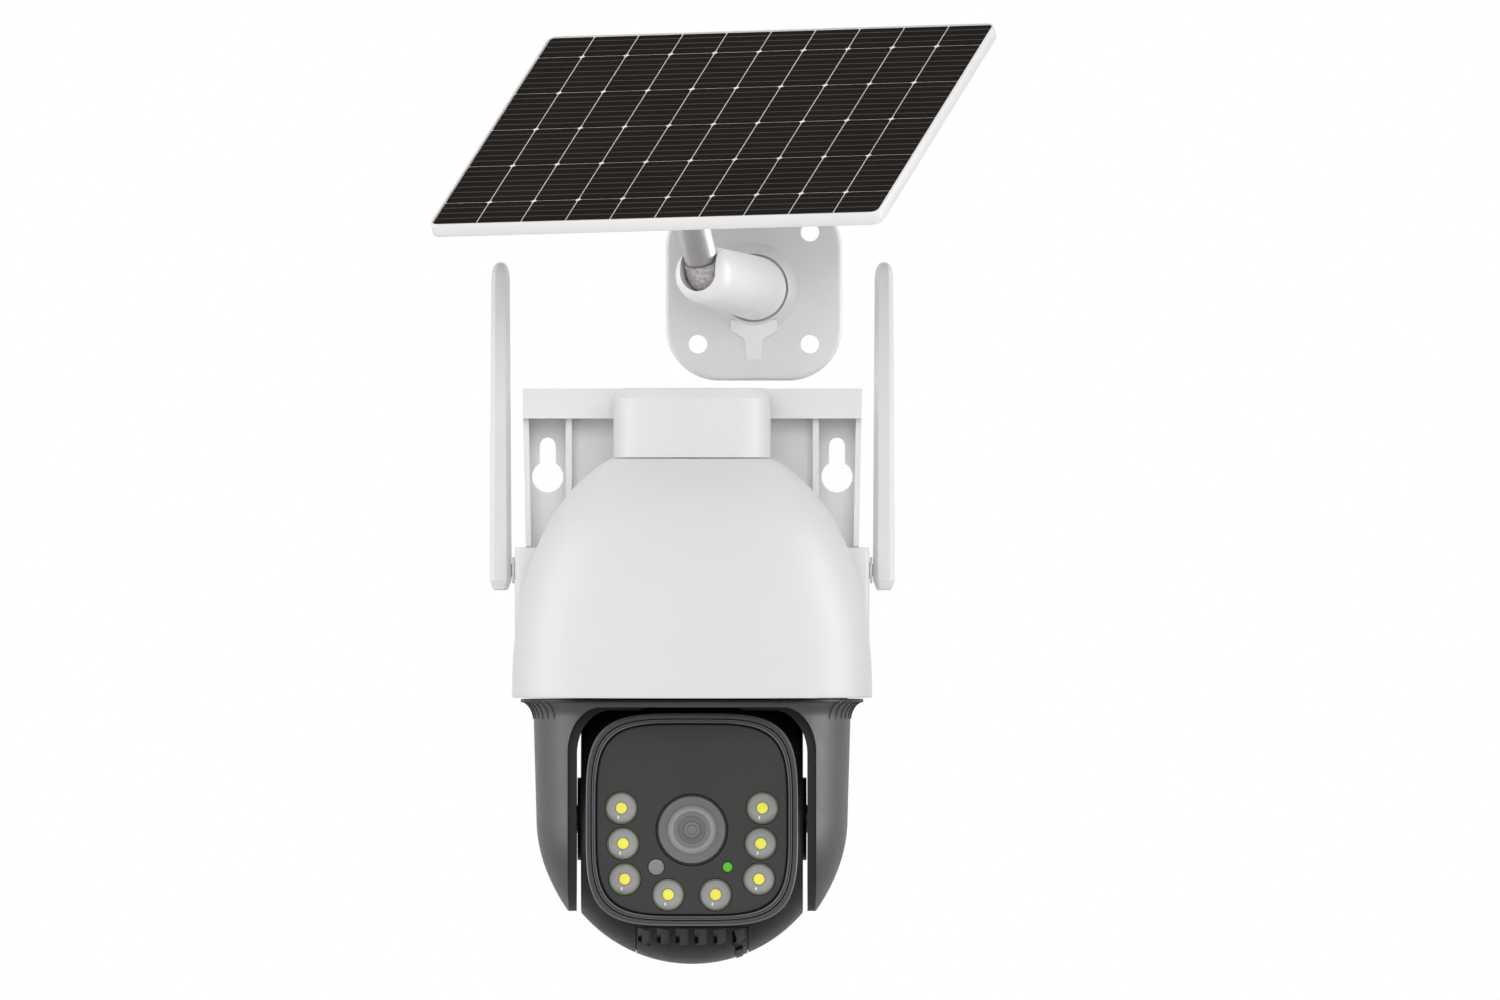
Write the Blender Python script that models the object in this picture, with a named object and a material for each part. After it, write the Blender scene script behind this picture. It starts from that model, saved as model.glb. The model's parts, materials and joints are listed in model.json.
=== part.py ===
"""Solar-powered security camera: a motor-driven pan and tilt head under a wall-hung dome,
and a small solar panel on its own wall bracket above it.

Units are metres, +Z is up. The wall is the plane Y = 0 and everything stands in front of it, at Y < 0.
X = 0 is the middle of the camera, and Z = 0 is the height of the round parts of its two keyholes.
"""

from math import acos, asin, cos, pi, radians, sin, sqrt, tan

import bmesh
import bpy
from mathutils import Matrix, Vector

MM = 0.001

# Clearances
FIT = 0.3 * MM
RUN = 0.4 * MM
LAP = 1.0 * MM
MERGE = 1.0e-7
SMOOTH_ANGLE = radians(35)

# Facets around large, middling and small round shapes
ROUND_LARGE = 36
ROUND_MIDDLE = 20
ROUND_SMALL = 12

# Wall bracket
BRACKET_TOP = 31.5 * MM
BRACKET_HALF_TOP = 60.6 * MM
BRACKET_DRAFT = radians(1.1)
BRACKET_FOOT = 2.0 * MM
PLATE = 3.0 * MM
BAR_HEIGHT = 10.7 * MM
BAR_DEPTH = 24.0 * MM
FLANGE = 2.0 * MM
FLANGE_DEPTH = 18.0 * MM
RIB_X = 44.1 * MM
RIB = 2.2 * MM
PAD_DEPTH = 10.0 * MM
KEYHOLE_X = 51.7 * MM
KEYHOLE_RADIUS = 5.63 * MM
KEYHOLE_SLOT = 5.65 * MM
KEYHOLE_RISE = 11.2 * MM

# Carrying arm, its cover and the bolt that hangs the dome
ARM_HALF = 24.6 * MM
ARM_WALL = 3.5 * MM
ARM_FLOOR = 4.5 * MM
CAP_RADIUS = 27.9 * MM
CAP_HEIGHT = 24.7 * MM
CAP_WALL = 2.9 * MM
CAP_ROOF = 2.6 * MM
CAP_CHAMFER_IN = 2.7 * MM
CAP_CHAMFER_DOWN = 3.3 * MM
SEAM = 0.4 * MM
BOLT_RADIUS = 4.0 * MM
BOLT_HEAD = 5.0 * MM
BOLT_HEAD_RADIUS = 7.5 * MM
BOLT_TAIL = 2.0 * MM
NUT_HEIGHT = 4.0 * MM
NUT_SIDES = 6

# Dome
DOME_RADIUS = 64.0 * MM
DOME_HEIGHT = 84.9 * MM
DOME_CROWN = 91.6 * MM
DOME_EXPONENT = 2.3
DOME_WALL = 2.4 * MM
DOME_ROOF = 3.0 * MM
DOME_TO_WALL = 14.0 * MM

# Rear housing
HOUSING_INSET = 0.9 * MM
HOUSING_HEIGHT = 53.0 * MM
HOUSING_WALL = 2.4 * MM
HOUSING_BEHIND_AXIS = 18.0 * MM
HOUSING_ROUND = 4.0 * MM
BOARD_POST_X = 40.0 * MM
BOARD_POST_RADIUS = 2.6 * MM
BOARD_POST_LOW = 5.0 * MM
BOARD_POST_HIGH = 3.0 * MM

# Batteries and boards
CELL_RADIUS = 9.2 * MM
CELL_LENGTH = 65.0 * MM
CELL_CAP_RADIUS = 3.0 * MM
CELL_CAP = 1.0 * MM
HOLDER_WALL = 1.6 * MM
HOLDER_LIP = 12.0 * MM
BOARD = 1.6 * MM
BOARD_GAP = 2.0 * MM
BOARD_CORNER = 2.0 * MM
CHIP = 1.4 * MM
PROCESSOR_HALF = 7.0 * MM
MEMORY_X = 18.0 * MM
MEMORY_HALF = 4.5 * MM
CONNECTOR_X = -22.0 * MM
CONNECTOR_HALF = 8.0 * MM
CONNECTOR_HALF_HEIGHT = 3.0 * MM
INLET_RADIUS = 5.5 * MM
INLET_FLANGE = 2.2 * MM
INLET_BORE = 3.2 * MM
INLET_DEPTH = 4.7 * MM
INLET_THREAD = 4.0 * MM
INLET_THREAD_RADIUS = 4.0 * MM
INLET_X = 50.0 * MM

# Pan drive
CHASSIS = 3.0 * MM
COLLAR_RADIUS = 35.4 * MM
SPIGOT_RADIUS = 32.0 * MM
SPIGOT_WALL = 2.5 * MM
BEARING_WIDTH = 4.0 * MM
BEARING_HEIGHT = 2.0 * MM
GEAR_MODULE = 1.6 * MM
GEAR_DIAMETER = 76.8 * MM
PINION_DIAMETER = 19.2 * MM
GEAR_PRESSURE = radians(20)
GEAR_ROOT = 1.25
GEAR_FACE = 5.2 * MM
GEAR_BACKLASH = 0.35 * MM
MOTOR_RADIUS = 12.0 * MM
MOTOR_LENGTH = 16.0 * MM
MOTOR_OFFSET = 7.0 * MM
MOTOR_SHAFT_RADIUS = 2.5 * MM
BRIDGE_GAP = 2.0 * MM
BRIDGE = 2.0 * MM
BRIDGE_LEG_X = 6.0 * MM
BRIDGE_LEG_Y = 8.0 * MM
BRIDGE_HALF = 22.5 * MM

# Camera ball
BALL_RADIUS = 51.6 * MM
BALL_HALF = 39.4 * MM
BALL_RISE = 8.5 * MM
BALL_WALL = 2.4 * MM
BALL_SPLIT = 16.0 * MM
HUB_RADIUS = 14.7 * MM
PIVOT_RADIUS = 5.0 * MM
PIVOT_DEPTH = 12.0 * MM
DRIVE_RADIUS = 2.4 * MM
DRIVE_LENGTH = 10.0 * MM
TILT_MOTOR_RADIUS = 11.0 * MM
TILT_MOTOR_LENGTH = 15.0 * MM
TILT_MOTOR_OFFSET = 5.5 * MM

# Face of the ball
BEZEL_HALF = 37.7 * MM
BEZEL_EXPONENT = 5.2
BEZEL_RIM = 3.7 * MM
BEZEL_ROOT = 12.0 * MM
LEDGE = 2.4 * MM
LEDGE_WIDTH = 2.4 * MM
GASKET = 0.8 * MM
FACE = 2.0 * MM
FACE_RECESS = 0.8 * MM
LENS_DROP = 3.65 * MM
LENS_HOLE = 12.9 * MM
LENS_DISC = 11.9 * MM
LENS_DISH = 1.0 * MM
LENS_BARREL = 8.0 * MM
LENS_GLASS = 6.4 * MM
LENS_GLASS_DEPTH = 3.0 * MM
LENS_THROAT = 3.5 * MM
LENS_THROAT_DEPTH = 6.0 * MM
LENS_LENGTH = 20.0 * MM
LENS_FOOT = 11.0 * MM
LENS_FOOT_HEIGHT = 3.0 * MM
SENSOR_BOARD_HALF = 14.0 * MM
LED_RADIUS = 5.63 * MM
LED_PROUD = 0.7 * MM
LED_COLUMN_X = 25.0 * MM
LED_COLUMN_TOP = 4.05 * MM
LED_PITCH = 12.6 * MM
LED_STEP_IN = 0.6 * MM
LED_PAIR_X = 8.4 * MM
LED_PAIR_Z = -26.65 * MM
LED_BULGE = radians(50)
SIGNAL_X = 12.65 * MM
SIGNAL_Z = -16.85 * MM
LIGHT_SENSOR_RADIUS = 2.8 * MM
STATUS_RADIUS = 1.73 * MM

# Card bay under the ball
COVER_HALF = 19.7 * MM
COVER_BACK = radians(-8)
COVER_PULL = radians(16.5)
COVER_WALL = 2.4 * MM
COVER_SPARE = radians(12)
GRIP_COUNT = 6
GRIP_PITCH = 6.7 * MM
GRIP_WIDTH = 4.2 * MM
GRIP_LENGTH = 8.9 * MM
GRIP_DEPTH = 1.0 * MM
GRIP_TILT = radians(34.7)
TAB_X = 16.9 * MM
TAB_WIDTH = 2.4 * MM
TAB_PROUD = 0.9 * MM
TAB_FRONT = radians(21)
TAB_BACK = radians(9)
BAY_ROOM = 13.6 * MM
BAY_MOUTH = 6.0 * MM
BAY_PAD = 3.4 * MM
BAY_PAD_END = 2.0 * MM
BAY_DEPTH = 16.0 * MM
SOCKET_WIDTH = 15.0 * MM
SOCKET_HEIGHT = 2.2 * MM
BUTTON_X = 11.0 * MM
BUTTON_RADIUS = 1.5 * MM
BUTTON_HEAD_RADIUS = 2.3 * MM
BUTTON_HEAD = 1.2 * MM
BUTTON_TRAVEL = 0.6 * MM

# Yoke
FLARE_INSET = 3.1 * MM
FLARE_WIDTH = 4.6 * MM
FLARE_DROP = 6.3 * MM
FLARE_EDGE = 0.8 * MM
YOKE_GAP = 0.5 * MM
YOKE_TAPER = 1.0 * MM
YOKE_ARM_BELOW = 32.7 * MM
YOKE_ARM_CURVE = 11.2 * MM
YOKE_ARM_STEPS = 5
YOKE_CROWN_STEPS = 2
ARM_GAP = 1.6 * MM
ARCH_LIP = 3.1 * MM
ARCH_TOP = 3.9 * MM
ARCH_STEP = 1.2 * MM
ARCH_CORNER_X = 12.0 * MM
ARCH_CORNER_Z = 16.0 * MM
ARCH_LIP_DEPTH = 33.4 * MM
CUP_GAP = 1.6 * MM
CUP_WALL = 2.4 * MM
CABLE_HOLE = 5.0 * MM

# Antennas
ANTENNA_GAP = 1.4 * MM
ANTENNA_HALF_X = 3.87 * MM
ANTENNA_HALF_Y = 5.0 * MM
ANTENNA_FACET = 0.55
ANTENNA_TAPER = 0.85
ANTENNA_LENGTH = 117.0 * MM
ANTENNA_BELOW = 7.1 * MM
ANTENNA_TIP = 6.0 * MM
ANTENNA_HEEL = 3.6 * MM
ANTENNA_HEEL_SCALE = 0.6
ANTENNA_TIP_SCALE = 0.8
ANTENNA_POINT_SCALE = 0.45
ANTENNA_PIVOT_DROP = 8.2 * MM
ANTENNA_Y = -30.0 * MM
SOCKET_STUB_RADIUS = 4.65 * MM
SOCKET_SHANK_RADIUS = 3.0 * MM
SOCKET_SHANK = 6.0 * MM
SOCKET_PIN_RADIUS = 2.2 * MM
SOCKET_PIN = 4.6 * MM

# Solar bracket
SOLAR_X = 22.0 * MM
SOLAR_Z = 67.4 * MM
BASE_WIDTH = 63.0 * MM
BASE_HEIGHT = 66.0 * MM
BASE_CORNER = 19.0 * MM
BASE = 7.5 * MM
BASE_HOLE_RADIUS = 3.3 * MM
BASE_HOLE_SPACING = 40.0 * MM
BASE_HUB_HEIGHT = 7.5 * MM
BASE_HUB_FLARE = 4.5 * MM
BASE_RECESS_RADIUS = 11.0 * MM
BASE_RECESS = 4.5 * MM
GUSSET_HALF = 3.0 * MM
GUSSET_FOOT_HALF = 2.2 * MM
GUSSET_WING = 8.0 * MM
GUSSET_WING_DROP = 3.5 * MM
GUSSET_NECK_DROP = 6.5 * MM
GUSSET_END = 2.5 * MM
GUSSET_LENGTH = 25.0 * MM
ELBOW_RADIUS = 11.4 * MM
ELBOW_HEAD_RADIUS = 10.4 * MM
ELBOW_SHOULDER = 3.8 * MM
ELBOW_SPIGOT_RADIUS = 6.0 * MM
KNUCKLE_SHIFT = -17.5 * MM
KNUCKLE_REACH = 68.0 * MM
KNUCKLE_RISE = 4.5 * MM
KNUCKLE_RADIUS = 6.3 * MM
SCREW_RADIUS = 2.5 * MM
SCREW_HEAD_RADIUS = 8.5 * MM
SCREW_HEAD = 3.0 * MM
SCREW_BITE = 14.0 * MM
HINGE_PIN_RADIUS = 2.0 * MM
HINGE_PIN_HALF = 9.8 * MM

# Rod and panel
ROD_RADIUS = 5.9 * MM
ROD_START = 6.2 * MM
ROD_LENGTH = 44.0 * MM
ROD_LEAN = radians(-13.5)
ROD_PITCH = radians(27.4)
NECK_RADIUS = 4.2 * MM
NECK_LENGTH = 7.5 * MM
STUD_RADIUS = 3.0 * MM
STUD_LENGTH = 5.6 * MM
FOOT_RADIUS = 16.0 * MM
FOOT_NECK_RADIUS = 8.5 * MM
FOOT_HEIGHT = 7.2 * MM
FOOT_FLANGE = 2.4 * MM
PANEL_TURN = radians(-24.9)
PANEL_WIDTH = 172.0 * MM
PANEL_HEIGHT = 136.0 * MM
PANEL = 5.0 * MM
PANEL_CORNER = 3.5 * MM
PANEL_CORNER_LEAST = 0.8 * MM
PANEL_SHIFT_X = 13.0 * MM
PANEL_SHIFT_Y = 8.0 * MM
FRAME_LIP = 1.4 * MM
FRAME_LEDGE = 6.0 * MM
LAMINATE = 2.0 * MM
BACK_SHEET = 1.6 * MM
BOX_WIDTH = 42.0 * MM
BOX_LENGTH = 28.0 * MM
BOX_HEIGHT = 9.0 * MM
BOX_CORNER = 3.0 * MM
BOX_FORWARD = 38.0 * MM
GLAND_RADIUS = 3.6 * MM
GLAND_THREAD_RADIUS = 2.5 * MM
GLAND_LENGTH = 9.0 * MM
GLAND_BITE = 4.0 * MM

# Heights and depths that follow from the sizes above
PAN_Y = -(DOME_RADIUS + DOME_TO_WALL)
CAP_BOTTOM = BRACKET_TOP - CAP_HEIGHT
DOME_TOP = CAP_BOTTOM - SEAM
DOME_RIM = DOME_TOP - DOME_HEIGHT
ARM_BOTTOM = DOME_TOP + FIT
ARM_TOP = BRACKET_TOP - CAP_ROOF - FIT
BAR_BOTTOM = BRACKET_TOP - BAR_HEIGHT
HOUSING_HALF = DOME_RADIUS - HOUSING_INSET
HOUSING_BOTTOM = DOME_RIM + FIT
HOUSING_TOP = HOUSING_BOTTOM + HOUSING_HEIGHT
HOUSING_BACK = -(PLATE + FIT)
HOUSING_FRONT = PAN_Y + HOUSING_BEHIND_AXIS
SHELF = HOUSING_TOP + FIT
CHASSIS_TOP = HOUSING_BOTTOM + CHASSIS
BEARING_BOTTOM = CHASSIS_TOP + FIT
GEAR_BOTTOM = BEARING_BOTTOM + BEARING_HEIGHT + FIT
GEAR_TOP = GEAR_BOTTOM + GEAR_FACE
GEAR_TEETH = round(GEAR_DIAMETER / GEAR_MODULE)
PINION_TEETH = round(PINION_DIAMETER / GEAR_MODULE)
GEAR_RADIUS = GEAR_MODULE * GEAR_TEETH / 2
PINION_RADIUS = GEAR_MODULE * PINION_TEETH / 2
PINION_Y = -(GEAR_RADIUS + PINION_RADIUS)
BRIDGE_BOTTOM = GEAR_TOP + BRIDGE_GAP
MOTOR_BOTTOM = BRIDGE_BOTTOM + BRIDGE + FIT
YOKE_TOP = DOME_RIM - YOKE_GAP
TILT_Z = DOME_RIM + BALL_RISE - BALL_RADIUS
ARM_INNER = BALL_HALF + ARM_GAP
BAY_DROP = BALL_RADIUS - BAY_ROOM
GRIP_DROP = BALL_RADIUS * cos(GRIP_TILT)
FACE_PLANE = -sqrt(BALL_RADIUS ** 2 - BEZEL_HALF ** 2)
FACE_HALF = BEZEL_HALF - BEZEL_RIM
FACE_FRONT = FACE_PLANE + FACE_RECESS
FACE_BACK = FACE_FRONT + FACE
GASKET_FRONT = FACE_BACK + FIT
LEDGE_FRONT = GASKET_FRONT + GASKET + FIT
LEDGE_BACK = LEDGE_FRONT + LEDGE
OPENING_HALF = FACE_HALF - LEDGE_WIDTH
LED_BOARD_FRONT = LEDGE_FRONT + FIT
LED_BACK = FACE_BACK
ANTENNA_X = HOUSING_HALF + ANTENNA_GAP + ANTENNA_HALF_X
ANTENNA_Z = HOUSING_TOP - ANTENNA_PIVOT_DROP
HUB_TOP = -(BASE + BASE_HUB_HEIGHT)
ELBOW_FOOT = HUB_TOP - FIT
KNUCKLE = Vector((KNUCKLE_SHIFT, -KNUCKLE_REACH, KNUCKLE_RISE))
PANEL_BACK = FIT + FOOT_HEIGHT + FIT
PANEL_TOP = PANEL_BACK + PANEL
CELL_Y = HOUSING_BACK - HOUSING_WALL - HOLDER_WALL - 2 * FIT - CELL_RADIUS
BOARD_Y = CELL_Y - CELL_RADIUS - BOARD_GAP


# Outlines

def arc(centre, radius_u, radius_v, start, end, steps):
    """Points of an elliptical arc, ends included."""
    angles = [start + (end - start) * i / steps for i in range(steps + 1)]
    return [(centre[0] + radius_u * cos(a), centre[1] + radius_v * sin(a)) for a in angles]


def box_outline(u0, u1, v0, v1):
    return [(u0, v0), (u1, v0), (u1, v1), (u0, v1)]


def rounded_outline(width, height, radius, steps=5):
    """A rectangle about the origin with round corners."""
    points = []
    for turn, (su, sv) in enumerate(((1, 1), (-1, 1), (-1, -1), (1, -1))):
        centre = (su * (width / 2 - radius), sv * (height / 2 - radius))
        points += arc(centre, radius, radius, turn * pi / 2, (turn + 1) * pi / 2, steps)
    return points


def superellipse(half, exponent=BEZEL_EXPONENT, steps=36):
    """The bulging square outline of the camera's face."""
    def power(value):
        return abs(value) ** (2 / exponent) * (1 if value >= 0 else -1)
    angles = [2 * pi * (i + 0.5) / steps for i in range(steps)]
    return [(half * power(cos(a)), half * power(sin(a))) for a in angles]


def stadium(half, back, steps=12):
    """Plan of the carrying arm: a half circle about the pan axis, with straight sides back to the wall."""
    return [(half, back)] + arc((0, PAN_Y), half, half, 0, -pi, steps) + [(-half, back)]


def dome_curve(shrink, roof, steps=8):
    """Points (radius, height) up the dome from its rim, on a superellipse."""
    radius = DOME_RADIUS - shrink
    crown = DOME_CROWN - roof
    height = DOME_HEIGHT - roof
    last = asin((height / crown) ** (DOME_EXPONENT / 2))
    power = 2 / DOME_EXPONENT
    angles = [last * i / steps for i in range(steps + 1)]
    return [(radius * cos(a) ** power, DOME_RIM + crown * sin(a) ** power) for a in angles]


def gear_outline(teeth, phase, flank):
    """An involute spur gear; phase is the direction of a tooth's middle, flank the points on each flank."""
    pitch = GEAR_MODULE * teeth / 2
    base = pitch * cos(GEAR_PRESSURE)
    root = pitch - GEAR_ROOT * GEAR_MODULE
    tip = pitch + GEAR_MODULE

    def involute(radius):
        angle = acos(min(1.0, base / radius))
        return tan(angle) - angle

    half_at_pitch = (pi / 2 - GEAR_BACKLASH / (2 * GEAR_MODULE)) / teeth
    start = max(base, root)
    radii = [start + (tip - start) * i / (flank - 1) for i in range(flank)]
    if root < base:
        radii = [root] + radii
    halves = [half_at_pitch + involute(pitch) - involute(max(r, base)) for r in radii]
    points = []
    for tooth in range(teeth):
        middle = phase + 2 * pi * tooth / teeth
        sides = list(zip(radii, halves))
        points += [(r * cos(middle - h), r * sin(middle - h)) for r, h in sides]
        points += [(r * cos(middle + h), r * sin(middle + h)) for r, h in reversed(sides)]
    return points


# Meshes

AXIS_ORDER = {"X": (2, 0, 1), "Y": (0, 2, 1), "Z": (0, 1, 2)}


def along(bm, axis):
    """Turn a mesh that was made along Z to lie along another axis, faces outwards."""
    order = AXIS_ORDER[axis]
    for vert in bm.verts:
        vert.co = Vector([vert.co[i] for i in order])
    bm.normal_update()
    bmesh.ops.recalc_face_normals(bm, faces=bm.faces)
    return bm


def prism(outline, low, high, axis="Z"):
    """An outline pulled along an axis. The outline is (y, z) for X, (x, z) for Y and (x, y) for Z."""
    bm = bmesh.new()
    face = bm.faces.new([bm.verts.new((u, v, low)) for u, v in outline])
    pulled = bmesh.ops.extrude_face_region(bm, geom=[face])
    verts = [item for item in pulled["geom"] if isinstance(item, bmesh.types.BMVert)]
    bmesh.ops.translate(bm, verts=verts, vec=(0, 0, high - low))
    return along(bm, axis)


def block(x0, x1, y0, y1, z0, z1):
    return prism(box_outline(x0, x1, y0, y1), z0, z1)


def lathe(profile, steps=ROUND_LARGE, axis="Z"):
    """A closed profile of (radius, height) points turned about an axis."""
    bm = bmesh.new()
    verts = [bm.verts.new((r, 0, h)) for r, h in profile]
    ends = zip(verts, verts[1:] + verts[:1])
    edges = [bm.edges.new((a, b)) for a, b in ends if a.co.x > MERGE or b.co.x > MERGE]
    bmesh.ops.spin(bm, geom=verts + edges, axis=(0, 0, 1), angle=2 * pi, steps=steps, use_merge=True)
    bmesh.ops.remove_doubles(bm, verts=bm.verts, dist=MERGE)
    return along(bm, axis)


def rod(radius, low, high, axis="Z", steps=ROUND_SMALL):
    return lathe([(0, low), (radius, low), (radius, high), (0, high)], steps, axis)


def bore(radius, low, high, axis="Z", steps=ROUND_SMALL):
    """A rod to cut a round hole with: its flats, and not its corners, lie at the radius."""
    return rod(radius / cos(pi / steps), low, high, axis, steps)


def tube(inner, outer, low, high, axis="Z", steps=ROUND_LARGE):
    """A ring whose hole has its flats at the inner radius."""
    hole_radius = inner / cos(pi / steps)
    return lathe([(hole_radius, low), (outer, low), (outer, high), (hole_radius, high)], steps, axis)


def moved(bm, x=0.0, y=0.0, z=0.0):
    bmesh.ops.translate(bm, verts=bm.verts, vec=(x, y, z))
    return bm


def merged(shapes):
    """Several shapes that lie apart, as one mesh."""
    bm = bmesh.new()
    mesh = bpy.data.meshes.new("merge")
    for shape in shapes:
        shape.to_mesh(mesh)
        bm.from_mesh(mesh)
        shape.free()
    bpy.data.meshes.remove(mesh)
    return bm


def loft(loops):
    """A solid through a stack of loops that have the same number of points."""
    bm = bmesh.new()
    rings = [[bm.verts.new(point) for point in loop] for loop in loops]
    for lower, upper in zip(rings, rings[1:]):
        for i in range(len(lower)):
            j = (i + 1) % len(lower)
            bm.faces.new((lower[i], lower[j], upper[j], upper[i]))
    bm.faces.new(rings[0])
    bm.faces.new(rings[-1])
    bmesh.ops.recalc_face_normals(bm, faces=bm.faces)
    return bm


def sliced(bm, point, outward):
    """Cut a closed mesh by a plane, drop what lies outwards and close the cut."""
    geom = bm.verts[:] + bm.edges[:] + bm.faces[:]
    bmesh.ops.bisect_plane(bm, geom=geom, plane_co=point, plane_no=outward, clear_outer=True, dist=MERGE)
    rim = [edge for edge in bm.edges if edge.is_boundary]
    bmesh.ops.holes_fill(bm, edges=rim)
    bmesh.ops.recalc_face_normals(bm, faces=bm.faces)
    return bm


def ball(radius, half, steps=ROUND_LARGE, rings=8):
    """A ball turned about X with flat sides at X = +half and -half."""
    limit = asin(half / radius)
    angles = [limit * (2 * i / rings - 1) for i in range(rings + 1)]
    profile = [(radius * cos(a), radius * sin(a)) for a in angles]
    return lathe([(0, -half)] + profile + [(0, half)], steps, "X")


def sphere_points(centre, radius, around=16, rings=8):
    """Points spread over a ball, poles included."""
    points = [centre + Vector((0, 0, radius)), centre - Vector((0, 0, radius))]
    for i in range(1, rings):
        polar = pi * i / rings
        circle = arc((0, 0), radius * sin(polar), radius * sin(polar), 0, 2 * pi, around)[:-1]
        points += [centre + Vector((x, y, radius * cos(polar))) for x, y in circle]
    return points


def hull(points):
    """The skin drawn tight over a set of points."""
    bm = bmesh.new()
    for point in points:
        bm.verts.new(point)
    wrap = bmesh.ops.convex_hull(bm, input=bm.verts)
    inside = [item for item in wrap["geom_interior"] if isinstance(item, bmesh.types.BMVert)]
    bmesh.ops.delete(bm, geom=inside, context="VERTS")
    bmesh.ops.recalc_face_normals(bm, faces=bm.faces)
    return bm


def ball_patch(inner, outer, x0, x1, back, front, across=6, around=8):
    """A curved plate on a ball, between two X values and two angles forward of straight down."""
    def ring(radius):
        rows = []
        for i in range(across + 1):
            x = x0 + (x1 - x0) * i / across
            reach = sqrt(radius ** 2 - x ** 2)
            angles = [back + (front - back) * j / around for j in range(around + 1)]
            rows.append([(x, -reach * sin(a), -reach * cos(a)) for a in angles])
        return rows

    bm = bmesh.new()
    skins = [[[bm.verts.new(p) for p in row] for row in ring(r)] for r in (inner, outer)]
    for skin in skins:
        for i in range(across):
            for j in range(around):
                bm.faces.new((skin[i][j], skin[i + 1][j], skin[i + 1][j + 1], skin[i][j + 1]))
    rims = []
    for skin in skins:
        rim = [skin[i][0] for i in range(across)]
        rim += [skin[across][j] for j in range(around)]
        rim += [skin[i][around] for i in range(across, 0, -1)]
        rim += [skin[0][j] for j in range(around, 0, -1)]
        rims.append(rim)
    for i in range(len(rims[0])):
        j = (i + 1) % len(rims[0])
        bm.faces.new((rims[0][i], rims[0][j], rims[1][j], rims[1][i]))
    bmesh.ops.recalc_face_normals(bm, faces=bm.faces)
    return bm


# Objects

def material(name, colour, roughness, metallic=0.0, alpha=1.0):
    finish = bpy.data.materials.new(name)
    finish.use_nodes = True
    shader = finish.node_tree.nodes["Principled BSDF"]
    shader.inputs["Base Color"].default_value = (*colour, 1.0)
    shader.inputs["Roughness"].default_value = roughness
    shader.inputs["Metallic"].default_value = metallic
    shader.inputs["Alpha"].default_value = alpha
    return finish


def empty(name, location=(0, 0, 0), parent=None, turn=None):
    marker = bpy.data.objects.new(name, None)
    marker.empty_display_size = 0.01
    matrix = Matrix.Translation(location)
    marker.matrix_local = matrix @ turn.to_4x4() if turn else matrix
    bpy.context.scene.collection.objects.link(marker)
    marker.parent = parent
    return marker


def add_object(name, bm, parent, location):
    mesh = bpy.data.meshes.new(name)
    bm.to_mesh(mesh)
    bm.free()
    mesh.shade_smooth()
    mesh.set_sharp_from_angle(angle=SMOOTH_ANGLE)
    thing = bpy.data.objects.new(name, mesh)
    thing.location = location
    bpy.context.scene.collection.objects.link(thing)
    thing.parent = parent
    return thing


def piece(name, bm, finish, parent, location=(0, 0, 0)):
    thing = add_object(name, bm, parent, location)
    thing.data.materials.append(finish)
    return thing


def combine(target, label, bm, operation):
    """A Boolean with a helper shape in the target's own coordinates."""
    tool = add_object(f"{target.name}_{label}", bm, target.parent, target.location)
    tool.hide_render = True
    tool.display_type = "WIRE"
    boolean = target.modifiers.new(label, "BOOLEAN")
    boolean.operation = operation
    boolean.solver = "EXACT"
    boolean.object = tool


def cut(target, label, bm):
    combine(target, label, bm, "DIFFERENCE")


def join(target, label, bm):
    combine(target, label, bm, "UNION")


# Camera: what stays on the wall

def bracket_half(z):
    """Half width of the wall plate at a height: it narrows a little downwards."""
    return BRACKET_HALF_TOP - (BRACKET_TOP - z) * tan(BRACKET_DRAFT)


def bracket_outline(low, high, inset=0.0):
    lower = bracket_half(low) - inset
    upper = bracket_half(high) - inset
    return [(-lower, low), (lower, low), (upper, high), (-upper, high)]


def keyhole(x):
    """A round hole for the screw head, with a slot for the shank above it."""
    half = KEYHOLE_SLOT / 2
    edge = asin(half / KEYHOLE_RADIUS)
    outline = arc((0, 0), KEYHOLE_RADIUS, KEYHOLE_RADIUS, pi / 2 + edge, 2.5 * pi - edge, ROUND_SMALL)
    outline += arc((0, KEYHOLE_RISE), half, half, 0, pi, ROUND_SMALL // 2)
    return prism([(x + u, v) for u, v in outline], -PLATE - LAP, LAP, "Y")


def side_pocket(side):
    """The open tray on one side of the bracket, in which a keyhole lies."""
    inner = RIB_X + RIB / 2
    low = SHELF - LAP
    outline = [(inner, low), (bracket_half(low) - FLANGE, low)]
    outline += [(bracket_half(BAR_BOTTOM) - FLANGE, BAR_BOTTOM), (inner, BAR_BOTTOM)]
    return prism([(side * u, v) for u, v in outline], -FLANGE_DEPTH - LAP, -PLATE, "Y")


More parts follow.
